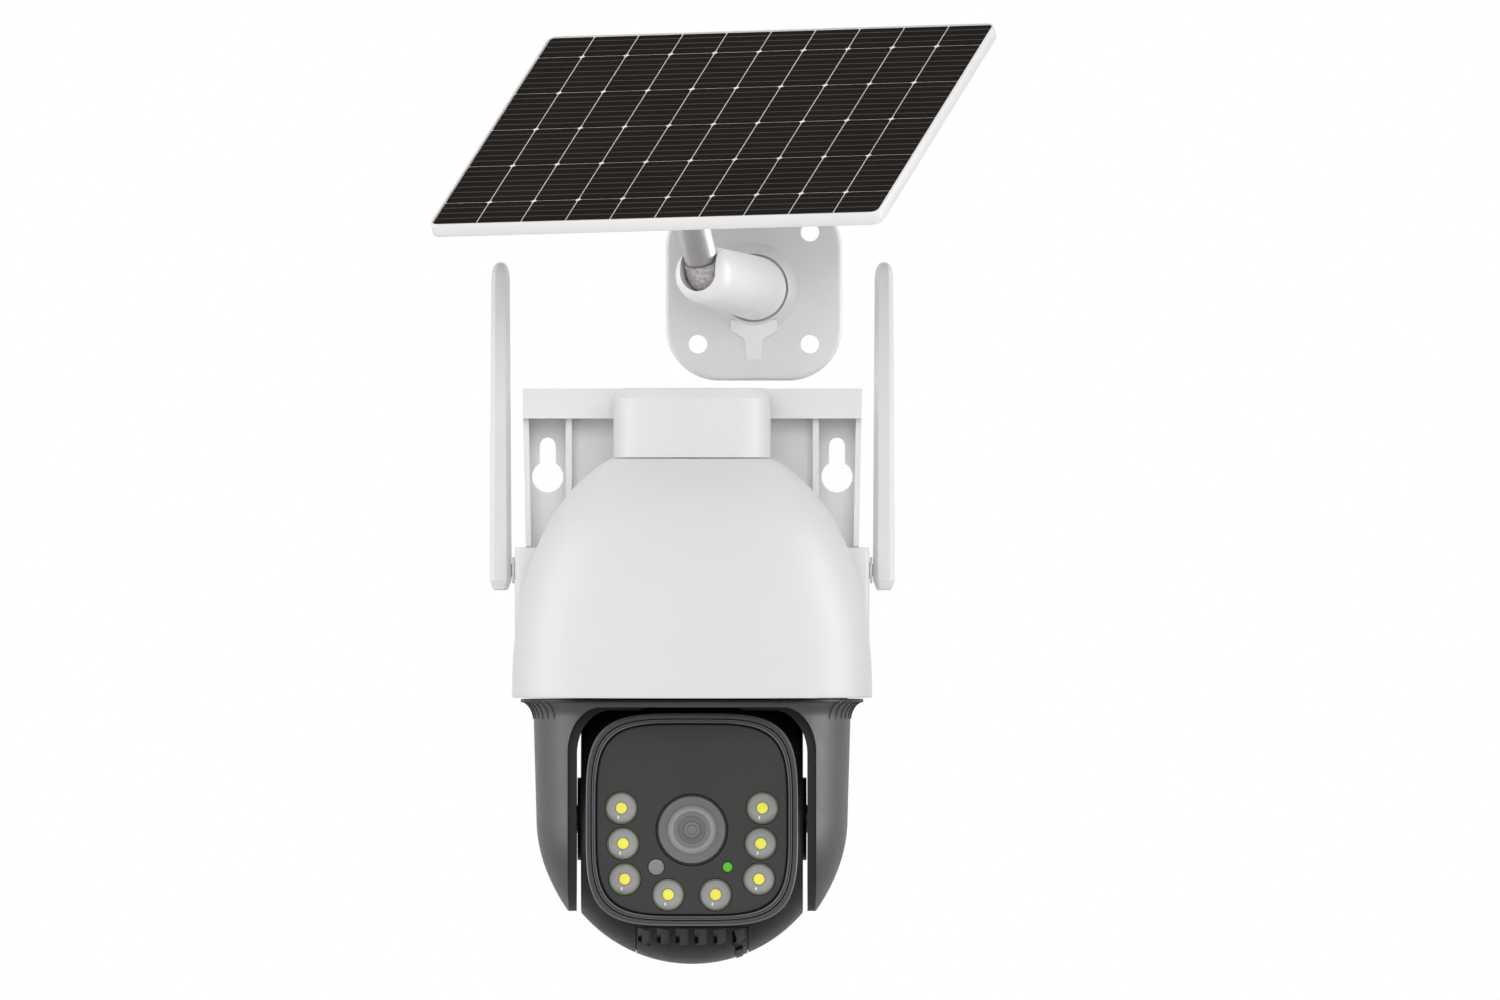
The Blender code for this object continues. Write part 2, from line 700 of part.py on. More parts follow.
def wall_bracket(finish, root):
    foot = HOUSING_BOTTOM + BRACKET_FOOT
    bracket = piece("wall_bracket", prism(bracket_outline(foot, BRACKET_TOP), -PLATE, 0, "Y"), finish, root)
    join(bracket, "tray", prism(bracket_outline(SHELF, BRACKET_TOP), -FLANGE_DEPTH, -PLATE + LAP, "Y"))
    middle = RIB_X - RIB / 2
    pad = block(-middle, middle, -FLANGE_DEPTH - LAP, -PAD_DEPTH, SHELF - LAP, BAR_BOTTOM)
    cut(bracket, "pockets", merged([side_pocket(-1), side_pocket(1), pad]))
    join(bracket, "bar", prism(bracket_outline(BAR_BOTTOM, BRACKET_TOP), -BAR_DEPTH, -PLATE + LAP, "Y"))
    join(bracket, "arm", prism(stadium(ARM_HALF, -PLATE + LAP), ARM_BOTTOM, ARM_TOP))
    well = prism(stadium(ARM_HALF - ARM_WALL, -BAR_DEPTH - LAP), ARM_BOTTOM + ARM_FLOOR, ARM_TOP + LAP)
    cut(bracket, "well", well)
    hole = moved(bore(BOLT_RADIUS + FIT, ARM_BOTTOM - LAP, ARM_BOTTOM + ARM_FLOOR + LAP), y=PAN_Y)
    cut(bracket, "holes", merged([hole, keyhole(-KEYHOLE_X), keyhole(KEYHOLE_X)]))


def top_cap(finish, root):
    back = -BAR_DEPTH - FIT

    def ring(half, z):
        return [(x, y, z) for x, y in stadium(half, back)]

    shoulder = BRACKET_TOP - CAP_CHAMFER_DOWN
    loops = [ring(CAP_RADIUS, CAP_BOTTOM), ring(CAP_RADIUS, shoulder)]
    loops += [ring(CAP_RADIUS - CAP_CHAMFER_IN, BRACKET_TOP)]
    cap = piece("top_cap", loft(loops), finish, root)
    inside = stadium(CAP_RADIUS - CAP_WALL, back + LAP)
    cut(cap, "inside", prism(inside, CAP_BOTTOM - LAP, BRACKET_TOP - CAP_ROOF))


def hanger(finish, root):
    """The bolt through the arm's floor and the dome's roof, and its nut inside the dome."""
    seat = ARM_BOTTOM + ARM_FLOOR + FIT
    nut_top = DOME_TOP - DOME_ROOF - FIT
    tip = nut_top - NUT_HEIGHT - BOLT_TAIL
    profile = [(0, tip), (BOLT_RADIUS, tip), (BOLT_RADIUS, seat), (BOLT_HEAD_RADIUS, seat)]
    profile += [(BOLT_HEAD_RADIUS, seat + BOLT_HEAD), (0, seat + BOLT_HEAD)]
    piece("hanger_bolt", lathe(profile, ROUND_SMALL), finish, root, (0, PAN_Y, 0))
    hexagon = arc((0, 0), BOLT_HEAD_RADIUS, BOLT_HEAD_RADIUS, 0, 2 * pi, NUT_SIDES)[:-1]
    nut = piece("hanger_nut", prism(hexagon, nut_top - NUT_HEIGHT, nut_top), finish, root, (0, PAN_Y, 0))
    cut(nut, "bore", bore(BOLT_RADIUS + FIT, tip, nut_top + LAP))


def dome_shell(finish, pan):
    outer = dome_curve(0, 0)
    inner = dome_curve(DOME_WALL, DOME_ROOF, 5)
    eye = BOLT_RADIUS + FIT
    profile = outer + [(eye, DOME_TOP), (eye, DOME_TOP - DOME_ROOF)] + inner[::-1]
    dome = piece("dome_shell", lathe(profile), finish, pan)
    reach = 2 * DOME_RADIUS
    notch = block(-reach, reach, HOUSING_BEHIND_AXIS - FIT, reach, DOME_RIM - LAP, SHELF)
    cut(dome, "notch", notch)


def rear_housing(finish, root):
    """The battery box behind the dome. Its front and roof are open where the dome's inside joins it."""
    width = 2 * HOUSING_HALF
    depth = HOUSING_BACK - HOUSING_FRONT
    middle = (HOUSING_BACK + HOUSING_FRONT) / 2
    plan = [(u, v + middle) for u, v in rounded_outline(width, depth, HOUSING_ROUND, 3)]
    housing = piece("rear_housing", prism(plan, HOUSING_BOTTOM, HOUSING_TOP), finish, root)
    half = HOUSING_HALF - HOUSING_WALL
    back = HOUSING_BACK - HOUSING_WALL
    front = HOUSING_FRONT + HOUSING_WALL
    floor = HOUSING_BOTTOM + HOUSING_WALL
    cut(housing, "inside", block(-half, half, front, back, floor, HOUSING_TOP - HOUSING_WALL))
    inner = dome_curve(DOME_WALL, DOME_ROOF, 5)
    core = [(0, DOME_RIM - LAP), (inner[0][0], DOME_RIM - LAP)] + inner + [(0, inner[-1][1])]
    cut(housing, "dome", moved(lathe(core), y=PAN_Y))
    low, high = board_rows()
    posts = [moved(rod(BOARD_POST_RADIUS, BOARD_Y + FIT, back + LAP, "Y", 8), x, 0, z)
             for x in (-BOARD_POST_X, BOARD_POST_X) for z in (low, high)]
    join(housing, "posts", merged(posts))
    shank = SOCKET_SHANK_RADIUS + FIT
    through = moved(bore(shank, -HOUSING_HALF - LAP, HOUSING_HALF + LAP, "X"), 0, ANTENNA_Y, ANTENNA_Z)
    cut(housing, "antennas", through)
    inlet = bore(INLET_THREAD_RADIUS + FIT, HOUSING_BOTTOM - LAP, floor + LAP)
    cut(housing, "inlet", moved(inlet, INLET_X, inlet_y(), 0))


def inlet_y():
    """The inlet sits in the floor's back corner, clear of the chassis."""
    return HOUSING_BACK - HOUSING_WALL - INLET_RADIUS - LAP


def charge_inlet(finish, root):
    low = HOUSING_BOTTOM - FIT
    top = HOUSING_BOTTOM + HOUSING_WALL + INLET_THREAD
    mouth = low - INLET_FLANGE
    floor = mouth + INLET_DEPTH
    profile = [(0, top), (0, floor), (INLET_BORE, floor), (INLET_BORE, mouth), (INLET_RADIUS, mouth)]
    profile += [(INLET_RADIUS, low), (INLET_THREAD_RADIUS, low), (INLET_THREAD_RADIUS, top)]
    piece("charge_inlet", lathe(profile, ROUND_SMALL), finish, root, (INLET_X, inlet_y(), 0))


def board_rows():
    """Heights of the two rows of posts that carry the main board."""
    low = CHASSIS_TOP + BOARD_POST_LOW
    high = HOUSING_TOP - HOUSING_WALL - BOARD_POST_RADIUS - BOARD_POST_HIGH
    return low, high


def cell_heights():
    """The two cells lie one above the other, with equal room over and under them."""
    middle = (CHASSIS_TOP + HOUSING_TOP - HOUSING_WALL) / 2
    step = CELL_RADIUS + FIT / 2
    return middle - step, middle + step


def batteries(tray_finish, cell_finish, root):
    low, high = cell_heights()
    end = CELL_LENGTH / 2 + CELL_CAP + FIT
    back = HOUSING_BACK - HOUSING_WALL - FIT
    tray = [(-end - HOLDER_WALL, back), (-end - HOLDER_WALL, back - HOLDER_LIP), (-end, back - HOLDER_LIP)]
    tray += [(-end, back - HOLDER_WALL), (end, back - HOLDER_WALL), (end, back - HOLDER_LIP)]
    tray += [(end + HOLDER_WALL, back - HOLDER_LIP), (end + HOLDER_WALL, back)]
    piece("battery_holder", prism(tray, low - CELL_RADIUS, high + CELL_RADIUS), tray_finish, root)
    half = CELL_LENGTH / 2
    profile = [(0, -half), (CELL_RADIUS, -half), (CELL_RADIUS, half), (CELL_CAP_RADIUS, half)]
    profile += [(CELL_CAP_RADIUS, half + CELL_CAP), (0, half + CELL_CAP)]
    for number, z in ((1, low), (2, high)):
        cell = piece(f"battery_cell_{number}", lathe(profile, ROUND_SMALL, "X"), cell_finish, root)
        cell.location = (0, CELL_Y, z)


def main_board(finish, root):
    low, high = board_rows()
    half = BOARD_POST_X + BOARD_POST_RADIUS
    bottom = low - BOARD_POST_RADIUS
    top = high + BOARD_POST_RADIUS
    board = piece("main_board", block(-half, half, BOARD_Y - BOARD, BOARD_Y, bottom, top), finish, root)
    front = BOARD_Y - BOARD
    chips = [block(x - w, x + w, front - CHIP, front + BOARD / 2, z - h, z + h)
             for x, z, w, h in chip_places((low + high) / 2)]
    join(board, "chips", merged(chips))


def chip_places(middle):
    """Middle and half sizes of the main board's processor, memory and connector."""
    yield 0.0, middle, PROCESSOR_HALF, PROCESSOR_HALF
    yield MEMORY_X, middle, MEMORY_HALF, MEMORY_HALF
    yield CONNECTOR_X, middle, CONNECTOR_HALF, CONNECTOR_HALF_HEIGHT


def antenna_socket(name, side, finish, root):
    """A stub on the side of the housing, with the pin on which the antenna turns."""
    inner = HOUSING_HALF - SOCKET_SHANK
    face = HOUSING_HALF + FIT
    stub = HOUSING_HALF + ANTENNA_GAP - FIT
    tip = HOUSING_HALF + ANTENNA_GAP + SOCKET_PIN
    profile = [(0, inner), (SOCKET_SHANK_RADIUS, inner), (SOCKET_SHANK_RADIUS, face)]
    profile += [(SOCKET_STUB_RADIUS, face), (SOCKET_STUB_RADIUS, stub)]
    profile += [(SOCKET_PIN_RADIUS, stub), (SOCKET_PIN_RADIUS, tip), (0, tip)]
    points = [(r, side * x) for r, x in profile]
    piece(name, lathe(points, ROUND_SMALL, "X"), finish, root, (0, ANTENNA_Y, ANTENNA_Z))


# Antennas

def antenna(name, side, finish, pivot):
    """A paddle of eight facets that narrows upwards, with a pointed tip and a chamfered heel."""
    top = ANTENNA_LENGTH - ANTENNA_BELOW

    def ring(scale, z):
        x = ANTENNA_HALF_X * scale
        y = ANTENNA_HALF_Y * scale
        a = x * ANTENNA_FACET
        b = y * ANTENNA_FACET
        corners = [(x, b), (a, y), (-a, y), (-x, b), (-x, -b), (-a, -y), (a, -y), (x, -b)]
        return [(u, v, z) for u, v in corners]

    loops = [ring(ANTENNA_HEEL_SCALE, -ANTENNA_BELOW), ring(1, ANTENNA_HEEL - ANTENNA_BELOW)]
    loops += [ring(1, ANTENNA_BELOW), ring(ANTENNA_TAPER, top - ANTENNA_TIP)]
    loops += [ring(ANTENNA_TAPER * ANTENNA_TIP_SCALE, top - ANTENNA_TIP / 4)]
    loops += [ring(ANTENNA_TAPER * ANTENNA_POINT_SCALE, top)]
    blade = piece(name, loft(loops), finish, pivot)
    face = -side * ANTENNA_HALF_X
    ends = sorted((face - side * LAP, face + side * (SOCKET_PIN + FIT)))
    cut(blade, "bore", bore(SOCKET_PIN_RADIUS + RUN, ends[0], ends[1], "X"))


# Pan drive

def chassis_plate(finish, pan):
    """The floor of the dome, with a bridge over the gear that carries the motor."""
    inner = COLLAR_RADIUS + RUN
    outer = DOME_RADIUS - DOME_WALL - FIT
    chassis = piece("chassis_plate", tube(inner, outer, HOUSING_BOTTOM, CHASSIS_TOP), finish, pan)
    low = CHASSIS_TOP - LAP
    top = BRIDGE_BOTTOM + BRIDGE
    y0 = PINION_Y - BRIDGE_LEG_Y / 2
    y1 = PINION_Y + BRIDGE_LEG_Y / 2
    inside = BRIDGE_HALF - BRIDGE_LEG_X
    legs = [(-BRIDGE_HALF, -inside), (inside, BRIDGE_HALF)]
    join(chassis, "legs", merged([block(x0, x1, y0, y1, low, BRIDGE_BOTTOM + LAP) for x0, x1 in legs]))
    seat = PINION_Y + MOTOR_OFFSET + MOTOR_RADIUS
    deck = block(-BRIDGE_HALF, BRIDGE_HALF, y0, seat, BRIDGE_BOTTOM, top)
    join(chassis, "deck", deck)
    cut(chassis, "shaft", moved(bore(MOTOR_SHAFT_RADIUS + LAP, BRIDGE_BOTTOM - LAP, top + LAP), y=PINION_Y))


def pan_bearing(finish, pan):
    inner = COLLAR_RADIUS + RUN
    top = BEARING_BOTTOM + BEARING_HEIGHT
    ring = tube(inner, inner + BEARING_WIDTH, BEARING_BOTTOM, top, steps=ROUND_MIDDLE)
    piece("pan_bearing", ring, finish, pan)


def pan_gear(finish, pan):
    """The ring gear on the yoke's spigot. One of its teeth points at the pinion."""
    outline = gear_outline(GEAR_TEETH, -pi / 2, 2)
    gear = piece("pan_gear", prism(outline, GEAR_BOTTOM, GEAR_TOP), finish, pan)
    cut(gear, "bore", bore(SPIGOT_RADIUS + FIT, GEAR_BOTTOM - LAP, GEAR_TOP + LAP, steps=ROUND_LARGE))


def pan_pinion(finish, axle):
    """The motor's pinion and shaft. A gap between its teeth faces the ring gear."""
    phase = pi / 2 + pi / PINION_TEETH
    outline = gear_outline(PINION_TEETH, phase, 2)
    pinion = piece("pan_pinion", prism(outline, GEAR_BOTTOM, GEAR_TOP), finish, axle)
    top = MOTOR_BOTTOM + MOTOR_LENGTH / 2
    join(pinion, "shaft", rod(MOTOR_SHAFT_RADIUS, GEAR_TOP - LAP, top))


def pan_motor(finish, pan):
    """A geared motor that stands on the bridge, its shaft off its middle."""
    body = rod(MOTOR_RADIUS, MOTOR_BOTTOM, MOTOR_BOTTOM + MOTOR_LENGTH, steps=ROUND_MIDDLE)
    motor = piece("pan_motor", moved(body, y=PINION_Y + MOTOR_OFFSET), finish, pan)
    middle = MOTOR_BOTTOM + MOTOR_LENGTH / 2
    cut(motor, "bore", moved(bore(MOTOR_SHAFT_RADIUS + RUN, MOTOR_BOTTOM - LAP, middle + LAP), y=PINION_Y))


# Turning head

def yoke_profile():
    """Half section of the yoke before the arch is cut: flare, arms, and the collar and cup in the dome."""
    outer = DOME_RADIUS - FLARE_INSET
    waist = outer - FLARE_WIDTH
    corner = YOKE_TOP - FLARE_EDGE
    flare = arc((outer, corner - FLARE_DROP), -FLARE_WIDTH, FLARE_DROP, pi / 2, 0, 3)
    arm = waist - YOKE_TAPER
    bottom = TILT_Z - YOKE_ARM_BELOW
    parts = [i / YOKE_ARM_STEPS for i in range(YOKE_ARM_STEPS + 1)]
    curve = [(arm - YOKE_ARM_CURVE * part ** 2, TILT_Z - YOKE_ARM_BELOW * part) for part in parts]
    shell = BALL_RADIUS + CUP_GAP + CUP_WALL
    inner = SPIGOT_RADIUS - SPIGOT_WALL

    def cup(radius):
        return radius, TILT_Z + sqrt(shell ** 2 - radius ** 2)

    width = (inner - CABLE_HOLE) / YOKE_CROWN_STEPS
    crown = [cup(CABLE_HOLE + width * i) for i in range(YOKE_CROWN_STEPS + 1)]
    top = GEAR_TOP + FIT
    step = GEAR_BOTTOM - FIT
    profile = [(CABLE_HOLE, TILT_Z)] + crown + [(inner, top), (SPIGOT_RADIUS, top), (SPIGOT_RADIUS, step)]
    profile += [(COLLAR_RADIUS, step), (COLLAR_RADIUS, YOKE_TOP), (outer, YOKE_TOP)]
    return profile + flare + curve + [(CABLE_HOLE, bottom)]


def arch(half, top, y0, y1):
    """The opening between the arms: straight sides, and a flat top with round corners."""
    low = TILT_Z - YOKE_ARM_BELOW - LAP
    centre = half - ARCH_CORNER_X
    outline = [(-half, low), (half, low)]
    outline += arc((centre, top - ARCH_CORNER_Z), ARCH_CORNER_X, ARCH_CORNER_Z, 0, pi / 2, 6)
    outline += arc((-centre, top - ARCH_CORNER_Z), ARCH_CORNER_X, ARCH_CORNER_Z, pi / 2, pi, 6)
    return prism(outline, y0, y1, "Y")


def yoke(finish, pan):
    """The turned yoke, cut through by the arch that makes its two arms, with a cup over the ball."""
    head = piece("yoke", lathe(yoke_profile()), finish, pan)
    reach = 2 * DOME_RADIUS
    top = YOKE_TOP - ARCH_TOP
    cut(head, "arch", arch(ARM_INNER, top, -reach, reach))
    lips = [arch(ARM_INNER + ARCH_LIP, top + ARCH_STEP, -reach, -ARCH_LIP_DEPTH)]
    lips += [arch(ARM_INNER + ARCH_LIP, top + ARCH_STEP, ARCH_LIP_DEPTH, reach)]
    cut(head, "lips", merged(lips))
    cut(head, "cup", moved(ball(BALL_RADIUS + CUP_GAP, ARM_INNER, rings=6), z=TILT_Z))
    end = ARM_INNER + PIVOT_DEPTH + FIT
    start = ARM_INNER - LAP
    bores = [bore(PIVOT_RADIUS + FIT, x0, x1, "X") for x0, x1 in ((-end, -start), (start, end))]
    cut(head, "pivots", moved(merged(bores), z=TILT_Z))


def tilt_pivots(finish, tilt_stand):
    """The driven shaft in the left arm and the plain pin in the right one."""
    outer = ARM_INNER + PIVOT_DEPTH
    inner = BALL_HALF - BALL_WALL + FIT
    drive = inner - DRIVE_LENGTH
    shaft = [(0, -outer), (PIVOT_RADIUS, -outer), (PIVOT_RADIUS, -inner), (DRIVE_RADIUS, -inner)]
    shaft += [(DRIVE_RADIUS, -drive), (0, -drive)]
    piece("tilt_drive_shaft", lathe(shaft, ROUND_SMALL, "X"), finish, tilt_stand)
    piece("tilt_pivot_pin", rod(PIVOT_RADIUS, inner, outer, "X"), finish, tilt_stand)


# Camera ball

def front_shell(finish, tilt):
    """Front of the ball: a sphere with flat sides, and a squared bezel that reaches the same radius."""
    body = sliced(ball(BALL_RADIUS, BALL_HALF), (0, FACE_PLANE, 0), (0, -1, 0))
    shell = piece("ball_front_shell", sliced(body, (0, BALL_SPLIT, 0), (0, 1, 0)), finish, tilt)
    join(shell, "bezel", prism(superellipse(BEZEL_HALF), FACE_PLANE, -BEZEL_ROOT, "Y"))
    hub = ARM_INNER - FIT
    join(shell, "hubs", rod(HUB_RADIUS, -hub, hub, "X", ROUND_MIDDLE))
    cut(shell, "hollow", sliced(ball_hollow(), (0, LEDGE_BACK, 0), (0, -1, 0)))
    join(shell, "pads", bay_pads())
    cut(shell, "recess", prism(superellipse(FACE_HALF), FACE_PLANE - LAP, LEDGE_FRONT, "Y"))
    cut(shell, "opening", prism(superellipse(OPENING_HALF), FACE_PLANE - LAP, LEDGE_BACK + LAP, "Y"))
    cut(shell, "bay", bay_sector(COVER_HALF, FIT))
    cut(shell, "pivots", bore(PIVOT_RADIUS + RUN, -hub - LAP, hub + LAP, "X"))


def ball_hollow():
    return ball(BALL_RADIUS - BALL_WALL, BALL_HALF - BALL_WALL, ROUND_MIDDLE, 5)


def bay_pads():
    """Two rests inside the shell that carry the card board beside the bay."""
    inner = COVER_HALF + 2 * FIT
    outer = inner + BAY_PAD
    seat = BALL_RADIUS - BALL_WALL / 2
    pads = []
    for side in (-1, 1):
        plan = [(side * x, y) for x in (inner, outer) for y in (-BAY_PAD_END, BAY_PAD_END - BAY_DEPTH)]
        feet = [(x, y, -sqrt(seat ** 2 - x ** 2 - y ** 2)) for x, y in plan]
        pads.append(hull(feet + [(x, y, -BAY_DROP - FIT) for x, y in plan]))
    return merged(pads)


def bay_sector(half, grow):
    """The part of the ball's wall that the card cover fills, from under the bezel backwards."""
    pull = Vector((0, -sin(COVER_PULL), -cos(COVER_PULL)))
    side = Vector((0, -cos(COVER_PULL), sin(COVER_PULL)))
    rim = Vector((0, -sin(COVER_BACK), -cos(COVER_BACK))) * BALL_RADIUS
    low = side * (rim.dot(side) - grow)
    inside = low + pull * (BAY_DROP - BAY_MOUTH)
    outside = low + pull * (2 * BALL_RADIUS)
    top = grow - BEZEL_HALF - 2 * FIT
    reach = 2 * BALL_RADIUS
    corners = [(inside.y, inside.z), (-BEZEL_ROOT, top), (-reach, top), (-reach, -reach)]
    corners += [(outside.y, outside.z)]
    return prism(corners, -half - grow, half + grow, "X")


def card_cover(finish, tilt):
    """The curved cover of the card bay: grip recesses along its front, a pull tab at its right."""
    front = acos(BEZEL_HALF / BALL_RADIUS)
    plate = ball_patch(BALL_RADIUS - COVER_WALL, BALL_RADIUS, -COVER_HALF - LAP, COVER_HALF + LAP,
                       COVER_BACK - COVER_SPARE, front + COVER_SPARE)
    cover = piece("card_cover", plate, finish, tilt)
    tab = ball_patch(BALL_RADIUS - COVER_WALL / 2, BALL_RADIUS + TAB_PROUD, TAB_X - TAB_WIDTH / 2,
                     TAB_X + TAB_WIDTH / 2, TAB_BACK, TAB_FRONT, 1, 4)
    join(cover, "tab", tab)
    combine(cover, "ends", bay_sector(COVER_HALF, 0), "INTERSECT")
    grips = []
    for number in range(GRIP_COUNT):
        x = (number - (GRIP_COUNT - 1) / 2) * GRIP_PITCH
        reach = sqrt(BALL_RADIUS ** 2 - x ** 2)
        half = GRIP_WIDTH / 2
        length = GRIP_LENGTH / 2
        grip = block(x - half, x + half, -length, length, -reach - GRIP_LENGTH, -reach + GRIP_DEPTH)
        turn = Matrix.Rotation(-acos(GRIP_DROP / reach), 3, "X")
        bmesh.ops.rotate(grip, verts=grip.verts, matrix=turn)
        grips.append(grip)
    cut(cover, "grips", merged(grips))


def rear_shell(finish, tilt):
    body = sliced(ball(BALL_RADIUS, BALL_HALF), (0, BALL_SPLIT + FIT, 0), (0, -1, 0))
    shell = piece("ball_rear_shell", body, finish, tilt)
    cut(shell, "hollow", ball_hollow())


def led_places():
    """Middle (x, z) of each lamp, in two leaning columns and a pair below."""
    places = []
    for row in range(3):
        x = LED_COLUMN_X - row * LED_STEP_IN
        z = LED_COLUMN_TOP - row * LED_PITCH
        places += [(-x, z), (x, z)]
    return places + [(-LED_PAIR_X, LED_PAIR_Z), (LED_PAIR_X, LED_PAIR_Z)]


def hole(radius, x, z, y0, y1, steps=ROUND_SMALL):
    return moved(bore(radius, y0, y1, "Y", steps), x, 0, z)


def face(plate_finish, gasket_finish, tilt):
    front = FACE_FRONT - LAP
    back = FACE_BACK + LAP
    sheet = prism(superellipse(FACE_HALF - FIT), FACE_FRONT, FACE_BACK, "Y")
    plate = piece("face_plate", sheet, plate_finish, tilt)
    holes = [hole(LED_RADIUS + FIT, x, z, front, back) for x, z in led_places()]
    holes += [hole(LENS_HOLE, 0, -LENS_DROP, front, back, ROUND_MIDDLE)]
    holes += [hole(LIGHT_SENSOR_RADIUS + FIT, -SIGNAL_X, SIGNAL_Z, front, back)]
    holes += [hole(STATUS_RADIUS + FIT, SIGNAL_X, SIGNAL_Z, front, back)]
    cut(plate, "holes", merged(holes))
    rim = prism(superellipse(FACE_HALF - FIT), GASKET_FRONT, GASKET_FRONT + GASKET, "Y")
    gasket = piece("face_gasket", rim, gasket_finish, tilt)
    inside = prism(superellipse(OPENING_HALF + FIT), GASKET_FRONT - LAP, GASKET_FRONT + GASKET + LAP, "Y")
    cut(gasket, "inside", inside)


def lamps(lens_finish, board_finish, tilt):
    """Eight lamp lenses in the face plate, and the board behind them."""
    board_back = LED_BOARD_FRONT + BOARD
    sheet = prism(superellipse(OPENING_HALF - FIT), LED_BOARD_FRONT, board_back, "Y")
    board = piece("led_board", sheet, board_finish, tilt)
    front = LED_BOARD_FRONT - LAP
    cut(board, "lens", hole(LENS_HOLE + FIT, 0, -LENS_DROP, front, board_back + LAP, ROUND_MIDDLE))
    crown = FACE_FRONT - LED_PROUD
    bulge = (LED_RADIUS * cos(LED_BULGE), FACE_FRONT - LED_PROUD * sin(LED_BULGE))
    profile = [(0, LED_BACK), (LED_RADIUS, LED_BACK), (LED_RADIUS, FACE_FRONT), bulge, (0, crown)]
    for number, (x, z) in enumerate(led_places(), 1):
        piece(f"led_lens_{number}", lathe(profile, ROUND_SMALL, "Y"), lens_finish, tilt, (x, 0, z))


def signals(sensor_finish, status_finish, tilt):
    """The light sensor's window and the green lamp, which reach back to the lamp board."""
    for name, radius, x, finish in (("light_sensor", LIGHT_SENSOR_RADIUS, -SIGNAL_X, sensor_finish),
                                    ("status_led", STATUS_RADIUS, SIGNAL_X, status_finish)):
        pin = rod(radius, FACE_FRONT, LED_BOARD_FRONT - FIT, "Y")
        piece(name, pin, finish, tilt, (x, 0, SIGNAL_Z))


def lens(holder_finish, barrel_finish, glass_finish, board_finish, tilt):
    """The lens: a dished holder on the sensor's board, a barrel in it and a domed front glass."""
    place = (0, 0, -LENS_DROP)
    front = FACE_FRONT + FIT
    back = front + LENS_LENGTH
    inner = LENS_BARREL + FIT
    outer = LENS_HOLE - FIT
    foot = back - LENS_FOOT_HEIGHT
    profile = [(inner, front + LENS_DISH), (LENS_DISC, front), (outer, front), (outer, foot - LAP)]
    profile += [(LENS_FOOT, foot), (LENS_FOOT, back), (inner, back)]
    piece("lens_holder", lathe(profile, ROUND_MIDDLE, "Y"), holder_finish, tilt, place)
    nose = front - LENS_DISH / 2
    glass_seat = nose + LENS_GLASS_DEPTH
    bevel = LENS_DISH / 2
    barrel = [(0, back - FIT), (LENS_BARREL, back - FIT), (LENS_BARREL, nose + bevel)]
    barrel += [(LENS_BARREL - bevel, nose)]
    barrel += [(LENS_GLASS + FIT, nose), (LENS_GLASS + FIT, glass_seat), (LENS_THROAT, glass_seat)]
    throat_end = glass_seat + LENS_THROAT_DEPTH
    barrel += [(LENS_THROAT, throat_end), (0, throat_end)]
    piece("lens_barrel", lathe(barrel, ROUND_MIDDLE, "Y"), barrel_finish, tilt, place)
    glass_back = glass_seat - FIT
    edge = nose + LENS_GLASS_DEPTH / 2
    glass = [(0, glass_back), (LENS_GLASS, glass_back), (LENS_GLASS, edge)]
    glass += arc((0, edge), LENS_GLASS, nose - edge + FIT, radians(25), radians(65), 2) + [(0, nose + FIT)]
    piece("lens_glass", lathe(glass, ROUND_MIDDLE, "Y"), glass_finish, tilt, place)
    half = SENSOR_BOARD_HALF
    board = prism(rounded_outline(2 * half, 2 * half, BOARD_CORNER, 3), back + FIT, back + FIT + BOARD, "Y")
    piece("sensor_board", board, board_finish, tilt, place)


def tilt_motor(finish, tilt):
    """A geared motor against the ball's left side; the fixed shaft reaches into it."""
    wall = -(BALL_HALF - BALL_WALL - FIT)
    body = rod(TILT_MOTOR_RADIUS, wall, wall + TILT_MOTOR_LENGTH, "X", ROUND_MIDDLE)
    motor = piece("tilt_motor", moved(body, y=TILT_MOTOR_OFFSET), finish, tilt)
    cut(motor, "bore", bore(DRIVE_RADIUS + RUN, wall - LAP, wall + DRIVE_LENGTH + LAP, "X"))


def card_bay(board_finish, button_finish, tilt, button_axis):
    """The board behind the cover, with the card's socket under it and the reset button in a hole."""
    half = COVER_HALF + BAY_PAD
    y1 = -LAP
    y0 = y1 - BAY_DEPTH
    sheet = block(-half, half, y0, y1, -BAY_DROP, -BAY_DROP + BOARD)
    board = piece("card_board", sheet, board_finish, tilt)
    low = -BAY_DROP - SOCKET_HEIGHT
    x0 = -SOCKET_WIDTH
    join(board, "socket", block(x0, 0, y0 + LAP, y1 - LAP, low, -BAY_DROP + BOARD / 2))
    middle = (y0 + y1) / 2
    button_hole = bore(BUTTON_RADIUS + RUN, -BAY_DROP - LAP, -BAY_DROP + BOARD + LAP)
    cut(board, "button", moved(button_hole, BUTTON_X, middle, 0))
    seat = -(BUTTON_TRAVEL + FIT)
    top = BOARD + LAP
    low = seat - BUTTON_HEAD
    profile = [(0, low), (BUTTON_HEAD_RADIUS, low), (BUTTON_HEAD_RADIUS, seat), (BUTTON_RADIUS, seat)]
    profile += [(BUTTON_RADIUS, top), (0, top)]
    button_axis.location = (BUTTON_X, middle, -BAY_DROP)
    piece("reset_button", lathe(profile, ROUND_SMALL), button_finish, button_axis)


# Solar panel's support

